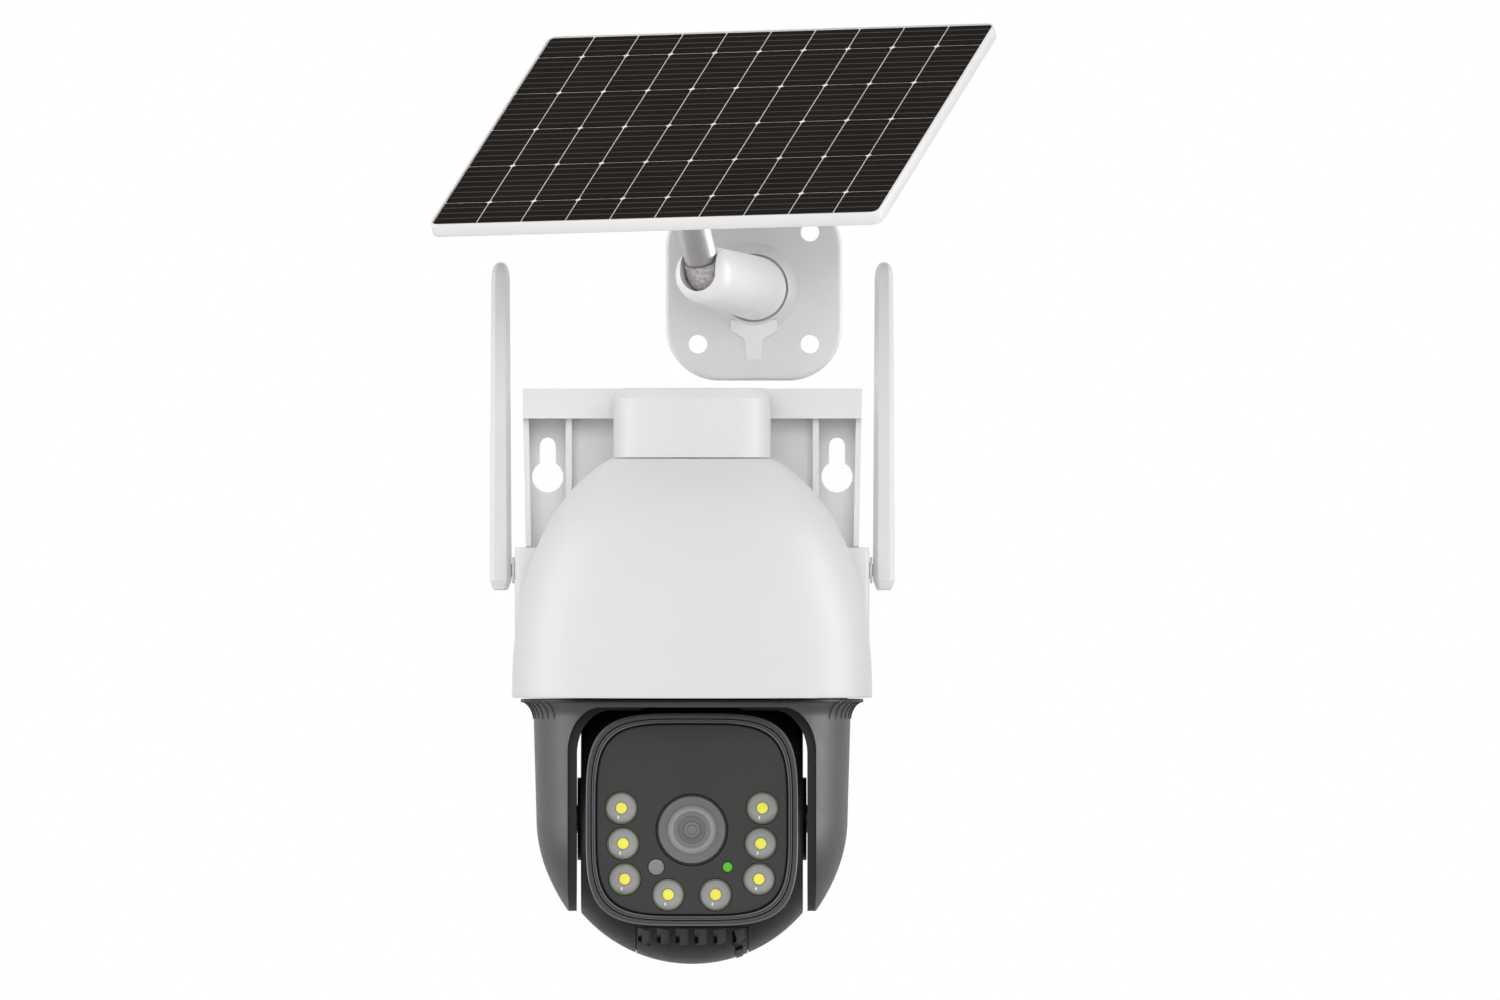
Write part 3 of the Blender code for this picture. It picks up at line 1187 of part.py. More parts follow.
def solar_base(finish, root):
    """The wall plate: rounded, with a raised hub, four screw holes and a gusset under the hub."""
    place = (SOLAR_X, 0, SOLAR_Z)
    outline = rounded_outline(BASE_WIDTH, BASE_HEIGHT, BASE_CORNER)
    base = piece("solar_base", prism(outline, -BASE, 0, "Y"), finish, root, place)
    rim = ELBOW_RADIUS + FIT
    hub = lathe([(0, -BASE + LAP), (rim + BASE_HUB_FLARE, -BASE + LAP), (rim + BASE_HUB_FLARE, -BASE - LAP),
                 (rim, HUB_TOP), (0, HUB_TOP)], ROUND_MIDDLE, "Y")
    join(base, "hub", hub)
    join(base, "gusset", gusset())
    cut(base, "recess", rod(BASE_RECESS_RADIUS, -BASE_RECESS, LAP, "Y", ROUND_MIDDLE))
    spacing = BASE_HOLE_SPACING / 2
    corners = [(x, z) for x in (-spacing, spacing) for z in (-spacing, spacing)]
    holes = [hole(BASE_HOLE_RADIUS, x, z, -BASE - LAP, LAP, 10) for x, z in corners]
    holes += [hole(ELBOW_SPIGOT_RADIUS + RUN, 0, 0, HUB_TOP - LAP, -BASE_RECESS + LAP)]
    cut(base, "holes", merged(holes))


def gusset():
    """A Y-shaped rib below the hub that fades into the plate downwards."""
    top = -ELBOW_RADIUS
    wing = top - GUSSET_WING_DROP
    neck = top - GUSSET_NECK_DROP
    foot = -ELBOW_RADIUS - GUSSET_LENGTH + BASE_HUB_HEIGHT
    outline = [(-GUSSET_FOOT_HALF, foot), (GUSSET_FOOT_HALF, foot), (GUSSET_HALF, neck)]
    outline += [(GUSSET_WING, wing), (GUSSET_WING, top), (-GUSSET_WING, top)]
    outline += [(-GUSSET_WING, wing), (-GUSSET_HALF, neck)]
    rib = prism(outline, HUB_TOP + LAP, -BASE + LAP, "Y")
    slope = Vector((0, -(top - foot), -(BASE_HUB_HEIGHT - GUSSET_END)))
    return sliced(rib, (0, HUB_TOP + 2 * LAP, top), slope)


def elbow_frame():
    """Where the elbow points, the rod's direction and the axis on which the rod tilts."""
    ahead = (KNUCKLE - Vector((0, ELBOW_FOOT, 0))).normalized()
    up = Matrix.Rotation(ROD_LEAN, 3, "Y") @ Matrix.Rotation(ROD_PITCH, 3, "X") @ Vector((0, 0, 1))
    hinge = up.cross(ahead).normalized()
    return ahead, up, hinge


def columns(x, y, z):
    return Matrix((x, y, z)).transposed()


def laid(bm, axis, side):
    """A mesh made about Z at the origin, set at the knuckle with Z along an axis and X along a side."""
    place = Matrix.Translation(KNUCKLE) @ columns(side, axis.cross(side), axis).to_4x4()
    bmesh.ops.transform(bm, matrix=place, verts=bm.verts)
    return bm


def solar_elbow(finish, screw_finish, swivel):
    """The swivel elbow: a skin drawn from a round foot to a ball-shaped head, slotted for the knuckle."""
    ahead, up, hinge = elbow_frame()
    above = ahead.cross(hinge)
    circle = arc((0, 0), ELBOW_RADIUS, ELBOW_RADIUS, 0, 2 * pi, ROUND_MIDDLE)[:-1]
    foot = [(x, ELBOW_FOOT, z) for x, z in circle]
    shoulder = [(x, ELBOW_FOOT - ELBOW_SHOULDER, z) for x, _, z in foot]
    bm = hull(foot + shoulder + sphere_points(KNUCKLE, ELBOW_HEAD_RADIUS))
    elbow = piece("elbow", bm, finish, swivel)
    join(elbow, "spigot", rod(ELBOW_SPIGOT_RADIUS, ELBOW_FOOT - LAP, -BASE_RECESS, "Y"))
    reach = 3 * ELBOW_HEAD_RADIUS
    room = (KNUCKLE_RADIUS + FIT) / cos(pi / ROUND_MIDDLE)
    under = arc((0, 0), room, room, -pi / 2, 0, ROUND_MIDDLE // 4)
    cut(elbow, "seat", laid(lathe(under + [(room, reach), (0, reach)], ROUND_MIDDLE), above, hinge))
    trough = arc((0, 0), room, room, pi, 2 * pi, ROUND_MIDDLE // 2) + [(room, reach), (-room, reach)]
    cut(elbow, "mouth", laid(prism(trough, 0, reach), ahead, hinge))
    cut(elbow, "cross_hole", laid(bore(HINGE_PIN_RADIUS + FIT, -reach, reach), hinge, ahead))
    cut(elbow, "thread", bore(SCREW_RADIUS + FIT, ELBOW_FOOT - SCREW_BITE, LAP, "Y"))
    pin = rod(HINGE_PIN_RADIUS, -HINGE_PIN_HALF, HINGE_PIN_HALF)
    piece("elbow_pin", laid(pin, hinge, ahead), screw_finish, swivel)
    head = -BASE_RECESS + FIT
    screw = [(0, head + SCREW_HEAD), (SCREW_HEAD_RADIUS, head + SCREW_HEAD), (SCREW_HEAD_RADIUS, head)]
    tip = ELBOW_FOOT - SCREW_BITE + LAP
    screw += [(SCREW_RADIUS, head), (SCREW_RADIUS, tip), (0, tip)]
    piece("swivel_screw", lathe(screw, ROUND_SMALL, "Y"), screw_finish, swivel)


def support_rod(rod_finish, knuckle_finish, hinge):
    """The round-ended knuckle that turns on the elbow's pin, and the rod on its neck."""
    shoulder = ROD_START - FIT
    neck_top = ROD_START + NECK_LENGTH
    profile = [(0, -KNUCKLE_RADIUS)] + arc((0, 0), KNUCKLE_RADIUS, KNUCKLE_RADIUS, -pi / 2, 0, 5)[1:]
    profile += [(KNUCKLE_RADIUS, shoulder), (NECK_RADIUS, shoulder), (NECK_RADIUS, neck_top), (0, neck_top)]
    knuckle = piece("rod_knuckle", lathe(profile, ROUND_MIDDLE), knuckle_finish, hinge)
    cut(knuckle, "pin", bore(HINGE_PIN_RADIUS + RUN, -2 * KNUCKLE_RADIUS, 2 * KNUCKLE_RADIUS, "X"))
    socket = NECK_RADIUS + FIT
    seat = neck_top + FIT
    end = ROD_LENGTH + STUD_LENGTH
    sleeve = [(socket, ROD_START), (ROD_RADIUS, ROD_START), (ROD_RADIUS, ROD_LENGTH)]
    sleeve += [(STUD_RADIUS, ROD_LENGTH), (STUD_RADIUS, end), (0, end), (0, seat), (socket, seat)]
    piece("support_rod", lathe(sleeve, ROUND_MIDDLE), rod_finish, hinge)


def panel_outline(inset):
    radius = max(PANEL_CORNER - inset, PANEL_CORNER_LEAST)
    outline = rounded_outline(PANEL_WIDTH - 2 * inset, PANEL_HEIGHT - 2 * inset, radius, 4)
    return [(u + PANEL_SHIFT_X, v + PANEL_SHIFT_Y) for u, v in outline]


def solar_panel(finishes, panel):
    """The panel: a frame with a ledge, the laminate on it, a back sheet, its foot and its junction box."""
    frame = piece("panel_frame", prism(panel_outline(0), PANEL_BACK, PANEL_TOP), finishes["frame"], panel)
    ledge = PANEL_TOP - LAMINATE - 2 * FIT
    cut(frame, "recess", prism(panel_outline(FRAME_LIP), ledge, PANEL_TOP + LAP))
    cut(frame, "window", prism(panel_outline(FRAME_LEDGE), PANEL_BACK - LAP, PANEL_TOP))
    laminate = prism(panel_outline(FRAME_LIP + FIT), ledge + FIT, ledge + FIT + LAMINATE)
    piece("solar_laminate", laminate, finishes["cells"], panel)
    back = prism(panel_outline(FRAME_LEDGE + FIT), PANEL_BACK, PANEL_BACK + BACK_SHEET)
    piece("panel_back", back, finishes["back"], panel)
    neck = FIT + FOOT_HEIGHT - FOOT_FLANGE
    socket = STUD_RADIUS + RUN
    roof = STUD_LENGTH + FIT
    profile = [(socket, FIT), (FOOT_NECK_RADIUS, FIT), (FOOT_NECK_RADIUS + LAP, neck), (FOOT_RADIUS, neck)]
    profile += [(FOOT_RADIUS, FIT + FOOT_HEIGHT), (0, FIT + FOOT_HEIGHT), (0, roof), (socket, roof)]
    piece("panel_foot", lathe(profile, ROUND_MIDDLE), finishes["back"], panel)
    middle = PANEL_SHIFT_Y + BOX_FORWARD
    top = PANEL_BACK - FIT
    x0 = PANEL_SHIFT_X - BOX_WIDTH / 2
    y0 = middle - BOX_LENGTH / 2
    rim = [(u + PANEL_SHIFT_X, v + middle) for u, v in rounded_outline(BOX_WIDTH, BOX_LENGTH, BOX_CORNER, 3)]
    box = piece("junction_box", prism(rim, top - BOX_HEIGHT, top), finishes["back"], panel)
    height = top - BOX_HEIGHT / 2
    thread = GLAND_THREAD_RADIUS
    thread_hole = bore(thread + FIT, y0 - LAP, y0 + GLAND_BITE + LAP, "Y")
    cut(box, "gland", moved(thread_hole, PANEL_SHIFT_X, 0, height))
    gland = [(0, y0 + GLAND_BITE), (thread, y0 + GLAND_BITE), (thread, y0 - FIT), (GLAND_RADIUS, y0 - FIT)]
    gland += [(GLAND_RADIUS, y0 - GLAND_LENGTH / 2), (thread, y0 - GLAND_LENGTH), (0, y0 - GLAND_LENGTH)]
    place = (PANEL_SHIFT_X, 0, height)
    piece("cable_gland", lathe(gland, ROUND_SMALL, "Y"), finishes["gland"], panel, place)


def finishes():
    return {
        "white": material("white_plastic", (0.82, 0.82, 0.82), 0.38),
        "black": material("black_plastic", (0.035, 0.035, 0.038), 0.42),
        "face": material("smoked_acrylic", (0.055, 0.055, 0.057), 0.12),
        "rubber": material("seal_rubber", (0.02, 0.02, 0.02), 0.8),
        "lamp": material("lamp_lens", (0.75, 0.75, 0.78), 0.1, alpha=0.5),
        "holder": material("lens_holder", (0.2, 0.2, 0.2), 0.35),
        "barrel": material("lens_barrel", (0.28, 0.28, 0.28), 0.3),
        "glass": material("lens_glass", (0.12, 0.13, 0.14), 0.04),
        "sensor": material("sensor_window", (0.22, 0.22, 0.22), 0.2),
        "green": material("status_green", (0.1, 0.48, 0.03), 0.3),
        "board": material("circuit_board", (0.02, 0.16, 0.07), 0.45),
        "steel": material("steel", (0.55, 0.55, 0.56), 0.3, 1.0),
        "motor": material("motor_can", (0.6, 0.6, 0.6), 0.35, 1.0),
        "acetal": material("acetal", (0.75, 0.73, 0.68), 0.4),
        "cell": material("cell_sleeve", (0.06, 0.2, 0.5), 0.4),
        "base": material("bracket_plastic", (0.6, 0.58, 0.61), 0.42),
        "knuckle": material("cast_zinc", (0.46, 0.44, 0.45), 0.5, 0.6),
        "rod": material("grey_rod", (0.3, 0.29, 0.29), 0.28, 0.9),
        "frame": material("panel_frame", (0.74, 0.72, 0.73), 0.35, 0.3),
        "cells": material("solar_cells", (0.016, 0.013, 0.011), 0.15),
        "back": material("back_sheet", (0.7, 0.7, 0.7), 0.45),
        "gland": material("gland_nylon", (0.03, 0.03, 0.03), 0.5),
    }


def build():
    for thing in list(bpy.data.objects):
        bpy.data.objects.remove(thing, do_unlink=True)
    look = finishes()

    root = empty("wall")
    pan = empty("pan_axis", (0, PAN_Y, 0), root)
    pinion_axis = empty("pinion_axis", (0, PINION_Y, 0), pan)
    tilt = empty("tilt_axis", (0, 0, TILT_Z), pan)
    button_axis = empty("button_axis", (0, 0, 0), tilt)

    wall_bracket(look["white"], root)
    top_cap(look["white"], root)
    hanger(look["steel"], root)
    dome_shell(look["white"], pan)
    rear_housing(look["white"], root)
    charge_inlet(look["gland"], root)
    batteries(look["black"], look["cell"], root)
    main_board(look["board"], root)
    for word, side in (("left", -1), ("right", 1)):
        antenna_socket(f"antenna_socket_{word}", side, look["white"], root)
        pivot = empty(f"antenna_{word}_pivot", (side * ANTENNA_X, ANTENNA_Y, ANTENNA_Z), root)
        antenna(f"antenna_{word}", side, look["white"], pivot)

    chassis_plate(look["black"], pan)
    pan_bearing(look["acetal"], pan)
    pan_gear(look["acetal"], pan)
    pan_pinion(look["acetal"], pinion_axis)
    pan_motor(look["motor"], pan)
    yoke(look["black"], pan)
    tilt_pivots(look["steel"], tilt)

    front_shell(look["black"], tilt)
    rear_shell(look["black"], tilt)
    card_cover(look["black"], tilt)
    face(look["face"], look["rubber"], tilt)
    lamps(look["lamp"], look["board"], tilt)
    signals(look["sensor"], look["green"], tilt)
    lens(look["holder"], look["barrel"], look["glass"], look["board"], tilt)
    tilt_motor(look["motor"], tilt)
    card_bay(look["board"], look["white"], tilt, button_axis)

    swivel = empty("swivel_axis", (SOLAR_X, 0, SOLAR_Z), root)
    ahead, up, hinge = elbow_frame()
    rod_hinge = empty("rod_hinge", KNUCKLE, swivel, columns(hinge, up.cross(hinge), up))
    lean = Matrix.Rotation(ROD_LEAN, 3, "Y") @ Matrix.Rotation(ROD_PITCH, 3, "X")
    turn = Matrix.Rotation(PANEL_TURN, 3, "Z")
    panel = empty("panel_axis", KNUCKLE + up * ROD_LENGTH, swivel, lean @ turn)
    solar_base(look["base"], root)
    solar_elbow(look["base"], look["steel"], swivel)
    support_rod(look["rod"], look["knuckle"], rod_hinge)
    solar_panel(look, panel)


build()
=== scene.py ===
"""Looks of a wall-hung solar security camera: finishes, fine detail, studio and camera.

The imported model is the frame. Every size is in metres and every piece rides on one of its bodies.
Nodes whose round forms show get finer skins here, close in size to the solids they stand for.
Sections of small turned pieces are tables in millimetres, with the number of each side's finish.
"""

import json
from math import acos, asin, copysign, cos, pi, radians, sin, sqrt

import bmesh
import bpy
from mathutils import Matrix, Vector

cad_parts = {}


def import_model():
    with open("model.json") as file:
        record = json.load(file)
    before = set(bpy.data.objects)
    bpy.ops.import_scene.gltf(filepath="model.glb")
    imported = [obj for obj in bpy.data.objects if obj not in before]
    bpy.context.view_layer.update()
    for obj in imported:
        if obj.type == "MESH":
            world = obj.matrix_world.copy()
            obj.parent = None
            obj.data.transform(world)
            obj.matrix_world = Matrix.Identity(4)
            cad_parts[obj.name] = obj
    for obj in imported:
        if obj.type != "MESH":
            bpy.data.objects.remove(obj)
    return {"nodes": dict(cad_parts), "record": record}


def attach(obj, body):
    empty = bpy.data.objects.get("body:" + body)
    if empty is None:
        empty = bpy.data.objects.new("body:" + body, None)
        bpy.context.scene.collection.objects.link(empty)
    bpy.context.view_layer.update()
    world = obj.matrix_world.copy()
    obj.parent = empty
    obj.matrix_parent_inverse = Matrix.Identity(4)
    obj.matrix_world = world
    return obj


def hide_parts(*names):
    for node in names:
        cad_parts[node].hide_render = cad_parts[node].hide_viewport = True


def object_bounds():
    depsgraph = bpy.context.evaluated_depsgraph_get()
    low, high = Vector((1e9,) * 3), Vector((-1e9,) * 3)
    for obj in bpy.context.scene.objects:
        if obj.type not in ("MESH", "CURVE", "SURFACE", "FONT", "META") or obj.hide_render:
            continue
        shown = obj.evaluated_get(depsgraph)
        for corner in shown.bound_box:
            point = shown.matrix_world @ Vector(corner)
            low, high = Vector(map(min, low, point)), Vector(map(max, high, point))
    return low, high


MM = 0.001

# Gap between mating pieces, overlap of cutting shapes, and what counts as no distance
FIT = 0.3 * MM
LAP = 1.0 * MM
TINY = 1.0e-7

# Turns that lay Z along X, and Z towards the viewer
ACROSS = Matrix.Rotation(pi / 2, 4, "Y")
UPRIGHT = Matrix.Rotation(pi / 2, 4, "X")

# Photograph: scale and the point at the middle of the picture
MM_PER_PIXEL = 0.3575
PICTURE_WIDTH = 1500
VIEW_CENTRE = Vector((20.6, 0, -8.3)) * MM
CAMERA_DISTANCE = 13.5
SENSOR_WIDTH = 36.0

# Studio: sky lights have a share, a turn and a rise in degrees; strips have a size, watts and a place
FLOOR_DROP = 0.33
FLOOR_SIZE = 40.0
FLOOR_MOTTLE = 0.4
FLOOR_SHADES = ((0.87, 0.87, 0.87), (0.89, 0.89, 0.89))
FLOOR_ROUGHNESS = 0.8
WORLD_LIGHT = 0.42
SKY_SPREAD = 40
SKY_LIGHTS = (
    ("front_sky", 0.55, 0, 16),
    ("left_sky", 0.32, -100, 12),
    ("right_sky", 0.28, 100, 12),
    ("back_sky", 0.3, 180, 35),
)
GLOSS_STRIPS = (
    ("left_gloss", (0.5, 1.6), 18, (-1.5, 0.35, 0.1)),
    ("right_gloss", (0.35, 1.6), 26, (1.5, 0.35, 0.1)),
)
GLOSS_AIM = -0.05

# Grain: the part of a noise's range that is used, and patches of more and less gloss
NOISE_LOW = 0.3
NOISE_HIGH = 0.7
GLOSS_PATCH = 6 * MM
GLOSS_VARY = 0.03
METAL_PATCH = 5 * MM
METAL_VARY = 0.08

# Smoothing: edges sharper than these angles stay crisp
SMOOTH_ANGLE = radians(32)
SOFT_ANGLE = radians(50)
CAP_SHARP = radians(24)
RIB_SHARP = radians(60)
BEZEL_SHARP = radians(70)
ANTENNA_SHARP = radians(20)
BASE_SHARP = radians(28)

# Welds, small round edges, and how many finishes a cut shape may carry
WELD_DISTANCE = 0.01 * MM
EDGE_ROUND = 0.35 * MM
SOFT_SOLIDS = ("rear_housing", "junction_box")
FINISH_SLOTS = 4

# Facets around large, middling and small round skins
ROUND = 128
ROUND_LENS = 96
ROUND_MIDDLE = 64
ROUND_SMALL = 48
ROUND_SPOT = 16

# Dome and its cap, from the part's source
PAN_Y = -78.0 * MM
DOME_RADIUS = 64.0 * MM
DOME_HEIGHT = 84.9 * MM
DOME_CROWN = 91.6 * MM
DOME_EXPONENT = 2.3
DOME_WALL = 2.4 * MM
DOME_ROOF = 3.0 * MM
DOME_RIM = -78.5 * MM
DOME_EYE = 4.3 * MM
DOME_LIP = 0.6 * MM
REACH = 2 * DOME_RADIUS
NOTCH_FRONT = 17.7 * MM
NOTCH_TOP = -24.9 * MM
CAP_RADIUS = 27.9 * MM
CAP_BOTTOM = 6.8 * MM
CAP_TOP = 31.5 * MM
CAP_BACK = -24.3 * MM
CAP_WALL = 2.9 * MM
CAP_ROOF = 2.6 * MM
CAP_CHAMFER_IN = 2.7 * MM
CAP_CHAMFER_DOWN = 3.3 * MM
CAP_EDGE = 0.4 * MM

# Yoke
TILT_Z = -121.6 * MM
YOKE_TOP = -79.0 * MM
FLARE_OUTER = 60.9 * MM
FLARE_WIDTH = 4.6 * MM
FLARE_DROP = 6.3 * MM
FLARE_EDGE = 0.8 * MM
FLARE_BOTTOM = YOKE_TOP - FLARE_EDGE - FLARE_DROP
ARM_RADIUS = 55.3 * MM
ARM_BELOW = 32.7 * MM
ARM_CURVE = 11.2 * MM
ARM_INNER = 41.0 * MM
COLLAR_RADIUS = 35.4 * MM
SPIGOT_RADIUS = 32.0 * MM
SPIGOT_WALL = 2.5 * MM
SPIGOT_STEP = -72.9 * MM
SPIGOT_TOP = -67.1 * MM
CABLE_HOLE = 5.0 * MM
CUP_RADIUS = 53.2 * MM
CUP_WALL = 2.4 * MM
ARCH_TOP = -82.9 * MM
ARCH_LIP = 3.1 * MM
ARCH_STEP = 1.2 * MM
ARCH_CORNER_X = 12.0 * MM
ARCH_CORNER_Z = 16.0 * MM
ARCH_LIP_DEPTH = 31.4 * MM
ARM_ROUND = 33.2 * MM
PIVOT_BORE = 5.3 * MM
PIVOT_END = 53.3 * MM
RIB_COUNT = 13
RIB_STEP = radians(5)
RIB_WIDTH = 0.9 * MM
RIB_PROUD = 0.5 * MM
RIB_TIP = 0.35
RIB_FADE = 0.6

# Camera ball; depths are measured forward from the pan axis
BALL_RADIUS = 51.6 * MM
BALL_HALF = 39.4 * MM
BALL_WALL = 2.4 * MM
BALL_SPLIT = 16.0 * MM
BALL_TONGUE = 1.6 * MM
HUB_RADIUS = 14.7 * MM
BEZEL_HALF = 37.7 * MM
BEZEL_EXPONENT = 4.1
BEZEL_ROOT = 12.0 * MM
BEZEL_FRONT = sqrt(BALL_RADIUS ** 2 - BEZEL_HALF ** 2)
# Bezel: finish 0 paints the band lighter as painted light, finish 1 paints highlights on the edge and ridge,
# finish 2 is the plain black
BEZEL_SECTION = (
    (37.65, -0.6, 0), (37.65, 0, 1), (37.5, 0.3, 1), (37.2, 0.5, 0), (36.9, 0.58, 0), (35.9, 0.5, 2),
    (35.75, 0.1, 2), (35.6, 0.1, 2), (35.45, 0.36, 1), (35.2, 0.36, 2), (35.05, 0.1, 0), (34.6, 0, 1),
    (34.4, 0.1, 1), (34.2, -0.1, 2), (34.2, -0.6, 2),
)
FACE_HALF = 34.0 * MM
FACE_SUNK = 0.8 * MM
FACE_FRONT = BEZEL_FRONT - FACE_SUNK
FACE = 2.0 * MM
FACE_EDGE = 0.3 * MM
LEDGE_GAP = 1.4 * MM
LEDGE_FRONT = FACE_FRONT - FACE - LEDGE_GAP
LEDGE_BACK = LEDGE_FRONT - BALL_WALL
OPENING_HALF = 31.6 * MM

# Lens, lamps and signals on the face
LENS_DROP = 3.65 * MM
LENS_HOLE = 12.9 * MM
# The lens disc's rim, finish 1, is painted near black: painted shade in the gap round the lens
LENS_DISC = (
    (8.3, -1, 0), (11.4, -0.1, 0), (11.8, 0, 1), (11.9, -0.3, 1), (12.6, -0.3, 1), (12.6, -16, 0),
    (11, -17, 0), (11, -20, 0), (8.3, -20, 0),
)
LENS_TUBE = (
    (0, -19.7, 0), (8, -19.7, 0), (8, -0.9, 0), (8.6, -0.9, 0), (8.6, -0.6, 0), (7.8, 0.3, 0),
    (7.4, 0.5, 0), (6.7, 0.5, 0), (6.4, 0.2, 0), (6.4, -2.5, 0), (0, -2.5, 0),
)
LENS_EYE = (
    (0, -2.2, 2), (6.38, -2.2, 2), (6.38, 0, 0), (5, -0.12, 1), (4.85, -0.35, 1), (3.1, -0.5, 2),
    (2.95, -0.35, 3), (2.4, -0.2, 3), (1.75, -0.12, 2), (1.6, -0.2, 0), (1.1, -0.1, 0), (0.5, -0.02, 0),
    (0, 0, 0),
)
LAMP_RADIUS = 5.63 * MM
LAMP_COLUMN_X = 25.0 * MM
LAMP_COLUMN_TOP = 4.05 * MM
LAMP_PITCH = 12.6 * MM
LAMP_STEP_IN = 0.6 * MM
LAMP_PAIR_X = 8.4 * MM
LAMP_PAIR_Z = -26.65 * MM
LAMP_SECTION = (
    (0, -2, 0), (5.63, -2, 0), (5.63, 0.05, 1), (5.52, 0.3, 1), (5.38, 0.3, 2), (5.3, -0.05, 2),
    (5.15, -0.05, 1), (5.1, 0.15, 1), (4.98, 0.12, 0), (4.6, -0.5, 0), (4.1, -0.8, 0), (3.5, -1.05, 0),
    (2.8, -1.2, 0), (2.25, -1.25, 2), (2.05, -1.25, 3), (2, -0.95, 3), (1.8, -0.78, 3), (1.4, -0.72, 3),
    (0, -0.7, 0),
)
# A small white spot on each lamp's bowl, finish 4: a painted highlight
SPOT_SECTION = ((0, -1.5, 4), (0.5, -1.5, 4), (0.45, -0.85, 4), (0, -0.7, 4))
SPOT_STRETCH = (0.6, 1.4, 1, 1)
SPOT_PLACE = (-1.1 * MM, -3.4 * MM)
SIGNAL_X = 12.65 * MM
SIGNAL_Z = -16.85 * MM
SENSOR_RADIUS = 2.8 * MM
STATUS_RADIUS = 1.73 * MM
SIGNAL_CROWN = 0.25 * MM
SIGNAL_EDGE = 0.1 * MM

# Card cover
COVER_HALF = 19.7 * MM
COVER_BACK = radians(-8)
COVER_PULL = radians(16.5)
COVER_WALL = 2.4 * MM
COVER_SPARE = radians(12)
GRIP_COUNT = 6
GRIP_PITCH = 6.7 * MM
GRIP_WIDTH = 4.2 * MM
GRIP_LENGTH = 10.2 * MM
GRIP_DEPTH = 1.7 * MM
GRIP_SHALLOW = 0.3 * MM
GRIP_SLOT = 1.1 * MM
GRIP_TILT = radians(35.5)
TAB_X = 16.9 * MM
TAB_WIDTH = 2.4 * MM
TAB_PROUD = 0.9 * MM
TAB_FRONT = radians(21)
TAB_BACK = radians(9)
BAY_INSIDE = 32.0 * MM

# Antennas
ANTENNA_X = 68.37 * MM
ANTENNA_Y = -30.0 * MM
ANTENNA_Z = -33.4 * MM
ANTENNA_HALF_X = 3.87 * MM
ANTENNA_HALF_Y = 5.0 * MM
ANTENNA_FACET = 0.55
ANTENNA_TAPER = 0.85
ANTENNA_LENGTH = 117.0 * MM
ANTENNA_BELOW = 7.1 * MM
ANTENNA_TIP = 6.0 * MM
ANTENNA_HEEL = 3.6 * MM
ANTENNA_FOOT = ((0.55, 0), (0.7, 0.4 * MM), (1, ANTENNA_HEEL))
ANTENNA_BEND = (18, 36, 52, 66, 78)
ANTENNA_BEND_CURVE = 0.8
ANTENNA_POINT = 0.15
SOCKET_PIN = 4.9 * MM
SOCKET_BORE = 2.6 * MM

# Solar bracket, rod and panel
SOLAR = Vector((22.0, 0, 67.4)) * MM
BASE_WIDTH = 63.0 * MM
BASE_HEIGHT = 66.0 * MM
BASE_CORNER = 19.0 * MM
BASE = 7.5 * MM
BASE_EDGE = 2.2 * MM
BASE_HOLE = 3.3 * MM
BASE_HOLE_X = 20.0 * MM
BASE_HUB = 7.5 * MM
BASE_HUB_FLARE = 4.5 * MM
HUB_GROOVE = 0.5 * MM
HUB_LIP = 0.5 * MM
HUB_EDGE = 0.2 * MM
HUB_CURVE = 1.6
BASE_RECESS = 4.5 * MM
BASE_RECESS_RADIUS = 11.0 * MM
HUB_TOP = BASE + BASE_HUB
GUSSET_HALF = 3.0 * MM
GUSSET_FOOT_HALF = 2.2 * MM
GUSSET_WING = 8.0 * MM
GUSSET_WING_DROP = 3.5 * MM
GUSSET_NECK_DROP = 6.5 * MM
GUSSET_LENGTH = 21.0 * MM
GUSSET_END = 2.5 * MM
GUSSET_DRAFT = 0.6 * MM
ELBOW_RADIUS = 11.4 * MM
ELBOW_HEAD_RADIUS = 10.4 * MM
ELBOW_SHOULDER = 3.8 * MM
ELBOW_SPIGOT = 6.0 * MM
TURN_FIT = 0.4 * MM
KNUCKLE = SOLAR + Vector((-17.5, -68.0, 4.5)) * MM
KNUCKLE_RADIUS = 6.3 * MM
KNUCKLE_BORE = 2.4 * MM
SCREW_BORE = 2.8 * MM
SCREW_BITE = 14.0 * MM
PIN_BORE = 2.3 * MM
PIN_HALF = 9.9 * MM
ROD_RADIUS = 5.9 * MM
ROD_EDGE = 0.4 * MM
ROD_START = 6.2 * MM
ROD_LENGTH = 44.0 * MM
ROD_LEAN = radians(-13.5)
ROD_PITCH = radians(27.4)
NECK_RADIUS = 4.2 * MM
NECK_LENGTH = 7.5 * MM
STUD_RADIUS = 3.0 * MM
STUD_LENGTH = 5.6 * MM
FOOT_RADIUS = 16.0 * MM
FOOT_NECK_RADIUS = 8.5 * MM
FOOT_HEIGHT = 7.2 * MM
FOOT_FLANGE = 2.4 * MM
FOOT_FILLET = 3.0 * MM
FOOT_EDGE = 0.4 * MM
PANEL_TURN = radians(-24.9)
PANEL_WIDTH = 172.0 * MM
PANEL_HEIGHT = 136.0 * MM
PANEL_CORNER = 3.5 * MM
PANEL_BACK = 7.8 * MM
PANEL_TOP = 12.8 * MM
PANEL_EDGE = 0.5 * MM
FRAME_LIP = 0.8 * MM
FRAME_LEDGE = 6.0 * MM
CELLS_WIDTH = 170.2 * MM
CELLS_HEIGHT = 134.2 * MM
CELLS_SHIFT = (13.0 * MM, 8.0 * MM)
CELLS_CORNER = 2.4 * MM
CELLS_BOTTOM = 10.5 * MM
CELLS_SHEET = 12.2 * MM
CELLS_TOP = 12.42 * MM
CELL_COLUMNS = 10
